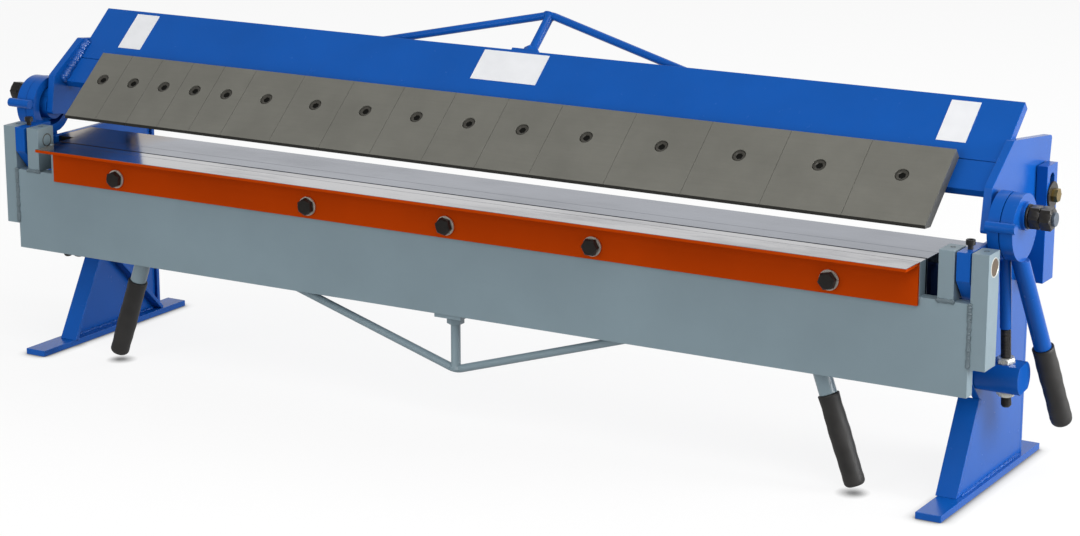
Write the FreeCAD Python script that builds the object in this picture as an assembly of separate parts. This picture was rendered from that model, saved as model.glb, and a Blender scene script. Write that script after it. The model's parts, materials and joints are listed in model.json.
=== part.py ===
"""Box and pan brake: a bench folding machine for sheet metal.

A bed between two side frames carries the sheet. A swinging apron with a bending angle hangs
in front of the bed. A tilting clamping beam with sixteen removable fingers holds the sheet
down. Two eccentric levers and two adjustable links pull the beam onto the bed.

Millimetres, +Z up, +X to the operator's right and -Y towards the operator. The origin lies on
the bench, under the middle of the machine. The finger widths drive the machine's length, the
hinge of the apron drives its depth, and the bed drives its height.
"""
import FreeCAD, Part
import math
import os
from FreeCAD import Vector

X_AXIS = Vector(1, 0, 0)
Y_AXIS = Vector(0, 1, 0)
Z_AXIS = Vector(0, 0, 1)

# Overall layout
BED_HEIGHT = 289.0
MACHINE_DEPTH = 325.0
MOVING_GAP = 1.0
RUNNING_FIT = 0.05

# Fingers, from left to right
NARROW_FINGER_WIDTH = 50.8
MIDDLE_FINGER_WIDTH = 76.2
WIDE_FINGER_WIDTH = 101.6
NARROW_COUNT = 5
MIDDLE_COUNT = 6
WIDE_COUNT = 5
FINGER_SEAM = 0.4
FINGER_LENGTH = 114.4
FINGER_THICKNESS = 14.0
FINGER_ANGLE = 49.7
FINGER_HEEL_ANGLE = 5.0
FINGER_SETBACK = 6.9
FINGER_BED_GAP = 0.3
FINGER_SCREW_DROP = 44.0
COUNTERBORE_RADIUS = 8.5
COUNTERBORE_DEPTH = 10.5

# Side frames
SIDE_SETBACK = 26.0
SIDE_THICKNESS = 9.0
SIDE_FRONT_SETBACK = 24.5
SIDE_REAR_REACH = 227.5
SIDE_NECK_DROP = 84.0
SIDE_SHOULDER_REACH = 61.0
SIDE_SHOULDER_DROP = 155.0
SIDE_WAIST_REACH = 84.5
SIDE_WAIST_DROP = 178.0
SIDE_TOE_REACH = 26.5
FOOT_THICKNESS = 8.0
FOOT_INNER_REACH = 15.0
FOOT_OUTER_REACH = 7.0
FOOT_FRONT_REACH = 35.5
FLANGE_THICKNESS = 6.0
FRONT_FLANGE_REACH = 17.0
REAR_FLANGE_REACH = 4.0
RIB_THICKNESS = 5.0
RIB_WIDTH = 14.0

# Bed
NOSE_OVERHANG = 0.5
NOSE_THICKNESS = 12.0
NOSE_WIDTH = 29.0
NOSE_DEPTH = 43.0
TOP_PLATE_THICKNESS = 12.0
TOP_PLATE_WIDTH = 67.0
BED_WALL_THICKNESS = 12.0
BED_WALL_OVERLAP = 3.0
BED_DEPTH = 134.0
BED_FLOOR_THICKNESS = 10.0

# Apron, its ears and the hinge bearings
APRON_THICKNESS = 16.0
APRON_DEPTH = 147.0
APRON_NOTCH_DEPTH = 40.0
APRON_NOTCH_GAP = 0.5
HINGE_STANDOFF = 1.5
HINGE_PIN_RADIUS = 10.0
EAR_REACH = 13.5
EAR_TOP = 17.0
INNER_EAR_THICKNESS = 19.0
INNER_EAR_GAP = 2.8
OUTER_EAR_THICKNESS = 20.0
OUTER_EAR_GAP = 1.2
OUTER_EAR_DROP = 114.0
BEARING_THICKNESS = 15.5
BEARING_PAD_LENGTH = 7.3
BEARING_PAD_LAP = 10.0
BEARING_PAD_HEIGHT = 31.0
BEARING_TOP = 17.0
BEARING_DROP = 43.0
BEARING_OVERHANG = 2.0
BEARING_CUT_DROP = 15.0
BEARING_CUT_REACH = 3.0

# Bending angle on the apron
ANGLE_OVERLAP = 2.4
ANGLE_SHIFT = 3.0
ANGLE_THICKNESS = 4.0
ANGLE_HEIGHT = 49.5
ANGLE_SHELF_WIDTH = 38.0
ANGLE_BOLT_DROP = 33.5
ANGLE_BOLT_INNER_PITCH = 203.0
ANGLE_BOLT_OUTER_PITCH = 303.0
ANGLE_BOLT_FLATS = 19.0
ANGLE_BOLT_HEAD = 7.5
ANGLE_WASHER_RADIUS = 12.0
ANGLE_WASHER_THICKNESS = 2.5

# Stiffening trusses of the apron and the beam
TRUSS_RADIUS = 5.0
TRUSS_HALF_LENGTH = 345.0
TRUSS_SLOPE = 17.0
TRUSS_POST_RADIUS = 6.0
APRON_TRUSS_DROP = 74.0
BEAM_TRUSS_RISE = 74.0
TRUSS_BOSS_WIDTH = 38.0
TRUSS_BOSS_THICKNESS = 5.0
TRUSS_BOSS_MARGIN = 10.0
TRUSS_BOSS_SETBACK = 2.0
TRUSS_NUT_FLATS = 19.0
TRUSS_NUT_HEIGHT = 10.0

# Apron handles
HANDLE_INSET = 208.0
HANDLE_OVERLAP = 58.0
HANDLE_BENCH_GAP = 9.5
HANDLE_SPLAY = 19.7
HANDLE_RADIUS = 10.5
GRIP_RADIUS = 12.8
GRIP_LENGTH = 110.0

# Clamping beam, drawn closed on the bed and then raised about its rear pivot
BEAM_PIVOT_REACH = 197.5
BEAM_PIVOT_RISE = 41.0
BEAM_TILT = 9.2
BEAM_PLATE_THICKNESS = 12.0
UPPER_PLATE_HEIGHT = 88.0
BEAM_SEAM = 1.0
LOWER_BAR_END_DROP = 43.0
LOWER_BAR_DROP = 58.0
LOWER_BAR_NECK_INSET = 11.6
BACKING_THICKNESS = 12.0
BACKING_RISE = 32.0
BACKING_DROP = 32.0
BACKING_END_GAP = 12.0

# End plates of the beam
END_PLATE_GAP = 9.0
END_PLATE_THICKNESS = 10.0
END_PLATE_BED_GAP = 0.5
END_PLATE_FRONT_REACH = 44.5
END_PLATE_KNEE_RISE = 52.0
END_PLATE_TOP_FRONT_REACH = 98.5
END_PLATE_TOP_FRONT_RISE = 103.0
END_PLATE_TOP_REAR_RISE = 108.0
END_PLATE_REAR_REACH = 220.0
END_PLATE_CORNER_RADIUS = 4.0

# Rear pivot blocks and bolts
PIVOT_BLOCK_THICKNESS = 13.0
PIVOT_BLOCK_WIDTH = 32.0
PIVOT_BLOCK_DROP = 102.0
PIVOT_BLOCK_RISE = 35.3
PIVOT_SLOT_RADIUS = 7.0
PIVOT_SLOT_DROP = 8.0
PIVOT_SLOT_RISE = 18.6
PIVOT_SPACER_DROP = 50.0
PIVOT_BOLT_FLATS = 14.5
PIVOT_BOLT_HEAD = 6.5
PIVOT_NUT_HEIGHT = 9.0
PIVOT_NUT_GAP = 0.3
PIVOT_WASHER_THICKNESS = 2.5

# Clamp studs and their nuts
STUD_REACH = 59.3
STUD_RISE = 24.7
STUD_RADIUS = 8.0
STUD_END_MARGIN = 3.5
CLAMP_WASHER_THICKNESS = 2.5
CLAMP_NUT_FLATS = 24.0
CLAMP_NUT_HEIGHT = 13.0
CLAMP_FACE_GAP = 0.3

# Eccentric levers
ECCENTRIC_SIDE = 1.0
ECCENTRIC_DROP = 13.5
ECCENTRIC_RADIUS = 18.5
ECCENTRIC_CORE_RADIUS = 12.5
DISC_THICKNESS = 15.0
DISC_RADIUS = 38.0
HUB_RADIUS = 16.0
HUB_LENGTH = 4.0
LEVER_RADIUS = 10.0
LEVER_ROOT_INSET = 5.3
LEVER_ROOT_DROP = 44.0
LEVER_END_OUTSET = 23.5
LEVER_END_REACH = 87.0
LEVER_END_DROP = 257.5
LEVER_GRIP_RADIUS = 12.8
LEVER_GRIP_LENGTH = 106.0
LEFT_LEVER_LEAN = 5.0

# Links between the eccentrics and the side frames
STRAP_GAP = 1.7
STRAP_THICKNESS = 13.5
STRAP_OUTER_RADIUS = 38.5
STRAP_INNER_RADIUS = 27.0
STRAP_FLAT_DEPTH = 0.8
STOP_BAR_RADIUS = 5.8
STOP_BAR_GAP = 0.3
STOP_BAR_ANGLE = 170.3
STOP_BAR_LENGTH = 34.5
STOP_BAR_PROUD = 6.0
TRUNNION_REACH = 82.0
TRUNNION_DROP = 145.4
TRUNNION_RADIUS = 20.0
TRUNNION_FLAT = 16.5
TRUNNION_LENGTH = 52.3
TRUNNION_JOURNAL_RADIUS = 9.0
TRUNNION_SIDE_GAP = 0.3
LINK_RADIUS = 6.6
LINK_STUD_RADIUS = 6.0
LINK_SLEEVE_LENGTH = 122.0
LINK_STUD_TAIL = 37.0
LINK_NUT_FLATS = 19.0
LINK_NUT_HEIGHT = 6.5

# Places worked out from the sizes above, along the machine's length
FINGER_ROW = (NARROW_COUNT * NARROW_FINGER_WIDTH + MIDDLE_COUNT * MIDDLE_FINGER_WIDTH
              + WIDE_COUNT * WIDE_FINGER_WIDTH)
ANGLE_HALF_LENGTH = FINGER_ROW / 2 + ANGLE_OVERLAP
APRON_NOTCH_X = ANGLE_HALF_LENGTH + ANGLE_SHIFT + APRON_NOTCH_GAP
NOSE_HALF_LENGTH = APRON_NOTCH_X + NOSE_OVERHANG
SIDE_INNER_X = NOSE_HALF_LENGTH + SIDE_SETBACK
SIDE_OUTER_X = SIDE_INNER_X + SIDE_THICKNESS
BEARING_INNER_X = SIDE_OUTER_X + BEARING_PAD_LENGTH
BEARING_OUTER_X = BEARING_INNER_X + BEARING_THICKNESS
INNER_EAR_OUTER_X = BEARING_INNER_X - INNER_EAR_GAP
INNER_EAR_INNER_X = INNER_EAR_OUTER_X - INNER_EAR_THICKNESS
OUTER_EAR_INNER_X = BEARING_OUTER_X + OUTER_EAR_GAP
OUTER_EAR_OUTER_X = OUTER_EAR_INNER_X + OUTER_EAR_THICKNESS
APRON_HALF_LENGTH = OUTER_EAR_INNER_X
LOWER_BAR_NECK_X = FINGER_ROW / 2 - LOWER_BAR_NECK_INSET
END_PLATE_INNER_X = SIDE_OUTER_X + END_PLATE_GAP
END_PLATE_OUTER_X = END_PLATE_INNER_X + END_PLATE_THICKNESS
PIVOT_BLOCK_INNER_X = END_PLATE_OUTER_X + MOVING_GAP
PIVOT_BLOCK_OUTER_X = PIVOT_BLOCK_INNER_X + PIVOT_BLOCK_THICKNESS
CAM_INNER_X = END_PLATE_OUTER_X + MOVING_GAP
STRAP_INNER_X = BEARING_OUTER_X + STRAP_GAP
STRAP_OUTER_X = STRAP_INNER_X + STRAP_THICKNESS
LINK_X = (STRAP_INNER_X + STRAP_OUTER_X) / 2
DISC_INNER_X = STRAP_OUTER_X + MOVING_GAP
DISC_OUTER_X = DISC_INNER_X + DISC_THICKNESS
HUB_OUTER_X = DISC_OUTER_X + HUB_LENGTH
CLAMP_NUT_X = HUB_OUTER_X + CLAMP_FACE_GAP + CLAMP_WASHER_THICKNESS
STUD_END_X = CLAMP_NUT_X + 2 * CLAMP_NUT_HEIGHT + STUD_END_MARGIN

# Places along the depth and the height
MACHINE_FRONT = -MACHINE_DEPTH / 2
MACHINE_REAR = MACHINE_DEPTH / 2
APRON_FACE_Y = MACHINE_FRONT + ANGLE_SHELF_WIDTH
APRON_REAR_Y = APRON_FACE_Y + APRON_THICKNESS
HINGE_Y = APRON_REAR_Y + HINGE_STANDOFF
HINGE_Z = BED_HEIGHT
APRON_BOTTOM_Z = BED_HEIGHT - APRON_DEPTH
APRON_NOTCH_Z = BED_HEIGHT - APRON_NOTCH_DEPTH
BED_FRONT_Y = HINGE_Y + HINGE_STANDOFF
TOP_PLATE_FRONT_Y = BED_FRONT_Y + NOSE_WIDTH
TOP_PLATE_REAR_Y = TOP_PLATE_FRONT_Y + TOP_PLATE_WIDTH
BED_FLOOR_Z = BED_HEIGHT - BED_DEPTH
SIDE_FRONT_Y = HINGE_Y + SIDE_FRONT_SETBACK
SIDE_REAR_Y = HINGE_Y + SIDE_REAR_REACH
SIDE_WEB_REAR_Y = SIDE_REAR_Y - FLANGE_THICKNESS
BEARING_REAR_Y = SIDE_FRONT_Y + BEARING_PAD_LAP
TRUNNION_Y = HINGE_Y + TRUNNION_REACH
TRUNNION_Z = BED_HEIGHT - TRUNNION_DROP
STUD_Y = HINGE_Y + STUD_REACH
STUD_Z = BED_HEIGHT + STUD_RISE

FACE_UP = Vector(0, math.cos(math.radians(FINGER_ANGLE)), math.sin(math.radians(FINGER_ANGLE)))
FACE_IN = Vector(0, FACE_UP.z, -FACE_UP.y)
NOSE = Vector(0, HINGE_Y + FINGER_SETBACK, BED_HEIGHT + FINGER_BED_GAP)
FINGER_TOP = NOSE + FACE_UP * FINGER_LENGTH
BEAM_PIVOT = Vector(0, HINGE_Y + BEAM_PIVOT_REACH, BED_HEIGHT + BEAM_PIVOT_RISE)

parts = {}


def block(x_range, y_range, z_range):
    """A box between pairs of coordinates."""
    corner = Vector(min(x_range), min(y_range), min(z_range))
    return Part.makeBox(abs(x_range[1] - x_range[0]), abs(y_range[1] - y_range[0]),
                        abs(z_range[1] - z_range[0]), corner)


def rod(start, end, radius):
    """A round bar from one point to another."""
    run = end - start
    return Part.makeCylinder(radius, run.Length, start, run)


def ring(start, length, axis, outer, inner):
    """A round tube or washer."""
    body = Part.makeCylinder(outer, length, start, axis)
    return body.cut(Part.makeCylinder(inner, length, start, axis))


def hexagon(start, axis, flats, height, turned=0.5):
    """A hexagon head or nut, turned by a share of one side."""
    sides = 6
    corner_radius = flats / math.sqrt(3)
    points = []
    for step in range(sides + 1):
        turn = math.tau * (step + turned) / sides
        points.append(Vector(corner_radius * math.cos(turn), corner_radius * math.sin(turn), 0))
    prism = Part.Face(Part.makePolygon(points)).extrude(Z_AXIS * height)
    prism.Placement = FreeCAD.Placement(start, FreeCAD.Rotation(Z_AXIS, axis))
    return prism


def nut(start, axis, flats, height, thread_radius, turned=0.5):
    """A hexagon nut with a plain bore."""
    body = hexagon(start, axis, flats, height, turned)
    return body.cut(rod(start, start + axis * height, thread_radius))


def rounded_face(points, radius):
    """A flat face in the YZ plane with rounded corners."""
    count = len(points)
    starts, middles, ends = [], [], []
    for index, corner in enumerate(points):
        before = (points[index - 1] - corner).normalize()
        after = (points[(index + 1) % count] - corner).normalize()
        half = before.getAngle(after) / 2
        reach = radius / math.tan(half)
        bisector = (before + after).normalize()
        starts.append(corner + before * reach)
        middles.append(corner + bisector * (radius / math.sin(half) - radius))
        ends.append(corner + after * reach)
    edges = []
    for index in range(count):
        edges.append(Part.Arc(starts[index], middles[index], ends[index]).toShape())
        edges.append(Part.makeLine(ends[index], starts[(index + 1) % count]))
    return Part.Face(Part.Wire(edges))


def plate(points, x_range, radius=0):
    """A plate cut to an outline of (y, z) corners, between two X coordinates."""
    corners = [Vector(min(x_range), y, z) for y, z in points]
    if radius > 0:
        face = rounded_face(corners, radius)
    else:
        face = Part.Face(Part.makePolygon(corners + corners[:1]))
    return face.extrude(X_AXIS * abs(x_range[1] - x_range[0]))


def hole(y, z, x_range, radius):
    """A cylinder along X, for boring and for pins."""
    start = Vector(min(x_range), y, z)
    return Part.makeCylinder(radius, abs(x_range[1] - x_range[0]), start, X_AXIS)


def mirrored(shape):
    """The same piece, or list of pieces, on the left side."""
    if isinstance(shape, list):
        return [mirrored(item) for item in shape]
    return shape.mirror(Vector(0, 0, 0), X_AXIS)


def keep_pair(name, shape):
    """Store a right-hand piece and its left-hand twin under two names."""
    parts["right_" + name] = shape
    parts["left_" + name] = mirrored(shape)


def both(shape):
    """A right-hand piece and its left-hand twin as two solids of one node."""
    return [shape, mirrored(shape)]


def beam_corner(along, inward):
    """The (y, z) of a point of the closed beam, measured from the fingers' top front edge."""
    point = FINGER_TOP + FACE_UP * along + FACE_IN * inward
    return point.y, point.z


def beam_point(x, along, inward):
    """The same as a vector at a given X."""
    y, z = beam_corner(along, inward)
    return Vector(x, y, z)


def beam_slab(x_range, along_range, inward_range):
    """A rectangular bar that lies along the beam's slope."""
    low, high = along_range
    front, back = inward_range
    corners = [beam_corner(low, front), beam_corner(high, front), beam_corner(high, back),
               beam_corner(low, back)]
    return plate(corners, x_range)


def raised(shape):
    """Lift a piece of the closed beam to its open place."""
    opened = shape.copy()
    opened.rotate(BEAM_PIVOT, X_AXIS, -BEAM_TILT)
    return opened


def raised_point(y, z):
    """Where a point of the closed beam lies when the beam is open."""
    turn = FreeCAD.Rotation(X_AXIS, -BEAM_TILT)
    return BEAM_PIVOT + turn.multVec(Vector(0, y, z) - BEAM_PIVOT)


def make_feet():
    foot = block((SIDE_INNER_X - FOOT_INNER_REACH, SIDE_OUTER_X + FOOT_OUTER_REACH),
                 (HINGE_Y - FOOT_FRONT_REACH, MACHINE_REAR), (0, FOOT_THICKNESS))
    keep_pair("foot", foot)


def make_side_frames():
    toe = Vector(0, HINGE_Y + SIDE_TOE_REACH, FOOT_THICKNESS)
    waist = Vector(0, HINGE_Y + SIDE_WAIST_REACH, BED_HEIGHT - SIDE_WAIST_DROP)
    lean = (waist - toe).normalize()
    back_waist = waist + Vector(0, lean.z, -lean.y) * FLANGE_THICKNESS
    back_toe_y = toe.y + FLANGE_THICKNESS / lean.z
    outline = [(back_toe_y, toe.z), (back_waist.y, back_waist.z), (waist.y, waist.z),
               (HINGE_Y + SIDE_SHOULDER_REACH, BED_HEIGHT - SIDE_SHOULDER_DROP),
               (SIDE_FRONT_Y, BED_HEIGHT - SIDE_NECK_DROP), (SIDE_FRONT_Y, BED_HEIGHT),
               (SIDE_WEB_REAR_Y, BED_HEIGHT), (SIDE_WEB_REAR_Y, toe.z)]
    web = plate(outline, (SIDE_INNER_X, SIDE_OUTER_X))
    bore = hole(TRUNNION_Y, TRUNNION_Z, (SIDE_INNER_X, SIDE_OUTER_X),
                TRUNNION_JOURNAL_RADIUS + RUNNING_FIT)
    keep_pair("side_plate", web.cut(bore))

    front = plate([(toe.y, toe.z), (waist.y, waist.z), (back_waist.y, back_waist.z),
                   (back_toe_y, toe.z)], (SIDE_INNER_X - FRONT_FLANGE_REACH, SIDE_OUTER_X))
    rear = block((SIDE_INNER_X - REAR_FLANGE_REACH, SIDE_OUTER_X), (SIDE_WEB_REAR_Y, SIDE_REAR_Y),
                 (FOOT_THICKNESS, BED_HEIGHT))
    keep_pair("side_stiffeners", [front, rear, diagonal_rib()])


def diagonal_rib():
    """A flat bar at 45 degrees, from the foot at the rear up towards the bed's floor."""
    leg = RIB_THICKNESS / math.sqrt(2)
    low_y, low_z = SIDE_WEB_REAR_Y, FOOT_THICKNESS
    run = min(low_y - TOP_PLATE_REAR_Y, BED_FLOOR_Z - low_z)
    corners = [(low_y, low_z), (low_y, low_z + leg), (low_y - run, low_z + leg + run),
               (low_y - run - leg, low_z + run), (low_y - leg, low_z)]
    return plate(corners, (SIDE_INNER_X - RIB_WIDTH, SIDE_INNER_X))


def make_bed():
    corners = [(BED_FRONT_Y, BED_HEIGHT), (TOP_PLATE_FRONT_Y, BED_HEIGHT),
               (TOP_PLATE_FRONT_Y, BED_HEIGHT - NOSE_THICKNESS),
               (BED_FRONT_Y + NOSE_THICKNESS, BED_HEIGHT - NOSE_THICKNESS),
               (BED_FRONT_Y + NOSE_THICKNESS, BED_HEIGHT - NOSE_DEPTH),
               (BED_FRONT_Y, BED_HEIGHT - NOSE_DEPTH)]
    parts["bed_nose_bar"] = plate(corners, (-NOSE_HALF_LENGTH, NOSE_HALF_LENGTH))
    span = (-SIDE_INNER_X, SIDE_INNER_X)
    parts["bed_top_plate"] = block(span, (TOP_PLATE_FRONT_Y, TOP_PLATE_REAR_Y),
                                   (BED_HEIGHT - TOP_PLATE_THICKNESS, BED_HEIGHT))
    wall_front = TOP_PLATE_FRONT_Y - BED_WALL_OVERLAP
    wall_back = wall_front + BED_WALL_THICKNESS
    under_top = BED_HEIGHT - max(TOP_PLATE_THICKNESS, NOSE_THICKNESS)
    parts["bed_front_wall"] = block(span, (wall_front, wall_back), (BED_FLOOR_Z, under_top))
    parts["bed_floor"] = block(span, (wall_back, TOP_PLATE_REAR_Y),
                               (BED_FLOOR_Z, BED_FLOOR_Z + BED_FLOOR_THICKNESS))


def make_hinge_bearings():
    top = HINGE_Z + BEARING_TOP
    bottom = HINGE_Z - BEARING_DROP
    front = APRON_FACE_Y - BEARING_OVERHANG
    outline = [(front, top), (front, HINGE_Z - BEARING_CUT_DROP),
               (HINGE_Y + BEARING_CUT_REACH, bottom), (BEARING_REAR_Y, bottom),
               (BEARING_REAR_Y, top)]
    x_range = (BEARING_INNER_X, BEARING_OUTER_X)
    pad = block((SIDE_OUTER_X, BEARING_INNER_X), (SIDE_FRONT_Y, BEARING_REAR_Y),
                (bottom, bottom + BEARING_PAD_HEIGHT))
    body = plate(outline, x_range).fuse(pad)
    body = body.cut(hole(HINGE_Y, HINGE_Z, x_range, HINGE_PIN_RADIUS))
    keep_pair("hinge_bearing", body.removeSplitter())

    parts["hinge_pins"] = both(hole(HINGE_Y, HINGE_Z, (INNER_EAR_INNER_X, OUTER_EAR_OUTER_X),
                                    HINGE_PIN_RADIUS))


def make_apron():
    body = block((-APRON_HALF_LENGTH, APRON_HALF_LENGTH), (APRON_FACE_Y, APRON_REAR_Y),
                 (APRON_BOTTOM_Z, BED_HEIGHT))
    for notch in both(block((APRON_NOTCH_X, APRON_HALF_LENGTH), (APRON_FACE_Y, APRON_REAR_Y),
                            (APRON_NOTCH_Z, BED_HEIGHT))):
        body = body.cut(notch)
    parts["apron_plate"] = body
    inner_range = (INNER_EAR_INNER_X, INNER_EAR_OUTER_X)
    outer_range = (OUTER_EAR_INNER_X, OUTER_EAR_OUTER_X)
    parts["inner_ears"] = both(ear(inner_range, APRON_NOTCH_Z))
    parts["outer_ears"] = both(ear(outer_range, HINGE_Z - OUTER_EAR_DROP))


def ear(x_range, bottom):
    """A thick lug of the apron, bored for the hinge pin."""
    lug = block(x_range, (APRON_FACE_Y, HINGE_Y + EAR_REACH), (bottom, HINGE_Z + EAR_TOP))
    return lug.cut(hole(HINGE_Y, HINGE_Z, x_range, HINGE_PIN_RADIUS + RUNNING_FIT))


def angle_bolt_places():
    inner = ANGLE_BOLT_INNER_PITCH
    outer = inner + ANGLE_BOLT_OUTER_PITCH
    return [ANGLE_SHIFT + place for place in (-outer, -inner, 0, inner, outer)]


def make_bending_angle():
    leg_front = APRON_FACE_Y - ANGLE_THICKNESS
    outline = [(MACHINE_FRONT, BED_HEIGHT), (APRON_FACE_Y, BED_HEIGHT),
               (APRON_FACE_Y, BED_HEIGHT - ANGLE_HEIGHT), (leg_front, BED_HEIGHT - ANGLE_HEIGHT),
               (leg_front, BED_HEIGHT - ANGLE_THICKNESS),
               (MACHINE_FRONT, BED_HEIGHT - ANGLE_THICKNESS)]
    angle = plate(outline, (ANGLE_SHIFT - ANGLE_HALF_LENGTH, ANGLE_SHIFT + ANGLE_HALF_LENGTH))
    heads, washers = [], []
    for bolt_x in angle_bolt_places():
        seat = Vector(bolt_x, leg_front, BED_HEIGHT - ANGLE_BOLT_DROP)
        under_head = seat - Y_AXIS * ANGLE_WASHER_THICKNESS
        washers.append(rod(seat, under_head, ANGLE_WASHER_RADIUS))
        heads.append(hexagon(under_head, -Y_AXIS, ANGLE_BOLT_FLATS, ANGLE_BOLT_HEAD))
    parts["bending_angle"] = angle
    parts["angle_bolts"] = heads
    parts["angle_washers"] = washers


def truss(apex, towards_plate, post_length):
    """A bent round bar with a post at its bend, which stiffens a plate."""
    slope = math.radians(TRUSS_SLOPE)
    overrun = TRUSS_RADIUS * math.tan(slope)
    bar = rod(apex, apex + towards_plate * post_length, TRUSS_POST_RADIUS)
    for side in (-1, 1):
        outward = X_AXIS * side
        run = outward * math.cos(slope) + towards_plate * math.sin(slope)
        half = rod(apex - run * overrun, apex + run * (TRUSS_HALF_LENGTH / math.cos(slope)),
                   TRUSS_RADIUS)
        waste = Part.makeCylinder(2 * TRUSS_RADIUS, TRUSS_RADIUS, apex, -outward)
        bar = bar.fuse(half.cut(waste))
    return bar.removeSplitter()


def make_apron_truss():
    centre_y = APRON_REAR_Y + TRUSS_RADIUS
    boss_bottom = APRON_BOTTOM_Z - TRUSS_BOSS_THICKNESS
    apex = Vector(0, centre_y, APRON_BOTTOM_Z - APRON_TRUSS_DROP)
    fastened = TRUSS_BOSS_THICKNESS + TRUSS_NUT_HEIGHT
    parts["apron_truss"] = truss(apex, Z_AXIS, APRON_TRUSS_DROP - fastened)
    half = TRUSS_BOSS_WIDTH / 2
    boss = block((-half, half),
                 (APRON_FACE_Y + TRUSS_BOSS_SETBACK, centre_y + TRUSS_BOSS_MARGIN),
                 (boss_bottom, APRON_BOTTOM_Z))
    nut_low = Vector(0, centre_y, boss_bottom - TRUSS_NUT_HEIGHT)
    parts["apron_truss_nut"] = [boss, hexagon(nut_low, Z_AXIS, TRUSS_NUT_FLATS, TRUSS_NUT_HEIGHT)]


def make_apron_handles():
    splay = math.radians(HANDLE_SPLAY)
    down = Vector(math.sin(splay), 0, -math.cos(splay))
    top = Vector(APRON_HALF_LENGTH - HANDLE_INSET, APRON_REAR_Y + HANDLE_RADIUS,
                 APRON_BOTTOM_Z + HANDLE_OVERLAP)
    end = top + down * ((top.z - HANDLE_BENCH_GAP) / math.cos(splay))
    tube_end = end - down * GRIP_LENGTH
    parts["apron_handles"] = both(rod(top, tube_end, HANDLE_RADIUS))
    parts["apron_grips"] = both(rod(tube_end, end, GRIP_RADIUS))


def make_beam():
    half = END_PLATE_INNER_X
    front = FINGER_THICKNESS
    back = front + BEAM_PLATE_THICKNESS
    upper_range = (-BEAM_SEAM, UPPER_PLATE_HEIGHT - BEAM_SEAM)
    parts["upper_plate"] = raised(beam_slab((-half, half), upper_range, (front, back)))
    bar_top = -2 * BEAM_SEAM
    neck = LOWER_BAR_NECK_X
    bar = beam_slab((-half, half), (-LOWER_BAR_END_DROP, bar_top), (front, back))
    bar = bar.fuse(beam_slab((-neck, neck), (-LOWER_BAR_DROP, bar_top), (front, back)))
    parts["lower_bar"] = raised(bar.removeSplitter())
    reach = half - BACKING_END_GAP
    parts["backing_bar"] = raised(beam_slab((-reach, reach), (-BACKING_DROP, BACKING_RISE),
                                            (back, back + BACKING_THICKNESS)))


def finger_sizes():
    """Each finger's node name and width, from left to right."""
    return ([("fingers_narrow", NARROW_FINGER_WIDTH)] * NARROW_COUNT
            + [("fingers_middle", MIDDLE_FINGER_WIDTH)] * MIDDLE_COUNT
            + [("fingers_wide", WIDE_FINGER_WIDTH)] * WIDE_COUNT)


def finger_profile():
    """The finger's section: a plate with a sharp nose and a relieved heel."""
    heel_rise = math.radians(FINGER_HEEL_ANGLE)
    heel = Vector(0, math.cos(heel_rise), math.sin(heel_rise))
    rear_corner = NOSE + heel * (FINGER_THICKNESS / heel.dot(FACE_IN))
    return [(NOSE.y, NOSE.z), beam_corner(0, 0), beam_corner(0, FINGER_THICKNESS),
            (rear_corner.y, rear_corner.z)]


def make_fingers():
    """Sixteen fingers, each with a counterbore for its socket screw."""
    profile = finger_profile()
    left = -FINGER_ROW / 2
    seam = FINGER_SEAM / 2
    for name, width in finger_sizes():
        mouth = beam_point(left + width / 2, -FINGER_SCREW_DROP, 0)
        finger = plate(profile, (left + seam, left + width - seam))
        counterbore = rod(mouth, mouth + FACE_IN * COUNTERBORE_DEPTH, COUNTERBORE_RADIUS)
        parts.setdefault(name, []).append(raised(finger.cut(counterbore)))
        left += width


def make_end_plates():
    bottom = BED_HEIGHT + END_PLATE_BED_GAP
    front = HINGE_Y + END_PLATE_FRONT_REACH
    rear = HINGE_Y + END_PLATE_REAR_REACH
    outline = [(front, bottom), (front, BED_HEIGHT + END_PLATE_KNEE_RISE),
               (HINGE_Y + END_PLATE_TOP_FRONT_REACH, BED_HEIGHT + END_PLATE_TOP_FRONT_RISE),
               (rear, BED_HEIGHT + END_PLATE_TOP_REAR_RISE), (rear, bottom)]
    x_range = (END_PLATE_INNER_X, END_PLATE_OUTER_X)
    body = plate(outline, x_range, END_PLATE_CORNER_RADIUS)
    body = body.cut(hole(BEAM_PIVOT.y, BEAM_PIVOT.z, x_range, PIVOT_SLOT_RADIUS))
    keep_pair("end_plate", raised(body))


def make_beam_truss():
    inward = FINGER_THICKNESS + BEAM_PLATE_THICKNESS + TRUSS_RADIUS
    top_edge = UPPER_PLATE_HEIGHT - BEAM_SEAM
    boss_top = top_edge + TRUSS_BOSS_THICKNESS
    apex = beam_point(0, top_edge + BEAM_TRUSS_RISE, inward)
    fastened = TRUSS_BOSS_THICKNESS + TRUSS_NUT_HEIGHT
    parts["beam_truss"] = raised(truss(apex, -FACE_UP, BEAM_TRUSS_RISE - fastened))
    half = TRUSS_BOSS_WIDTH / 2
    boss = beam_slab((-half, half), (top_edge, boss_top),
                     (FINGER_THICKNESS + TRUSS_BOSS_SETBACK, inward + TRUSS_BOSS_MARGIN))
    seated = hexagon(beam_point(0, boss_top, inward), FACE_UP, TRUSS_NUT_FLATS, TRUSS_NUT_HEIGHT)
    parts["beam_truss_nut"] = [raised(boss), raised(seated)]


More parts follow.
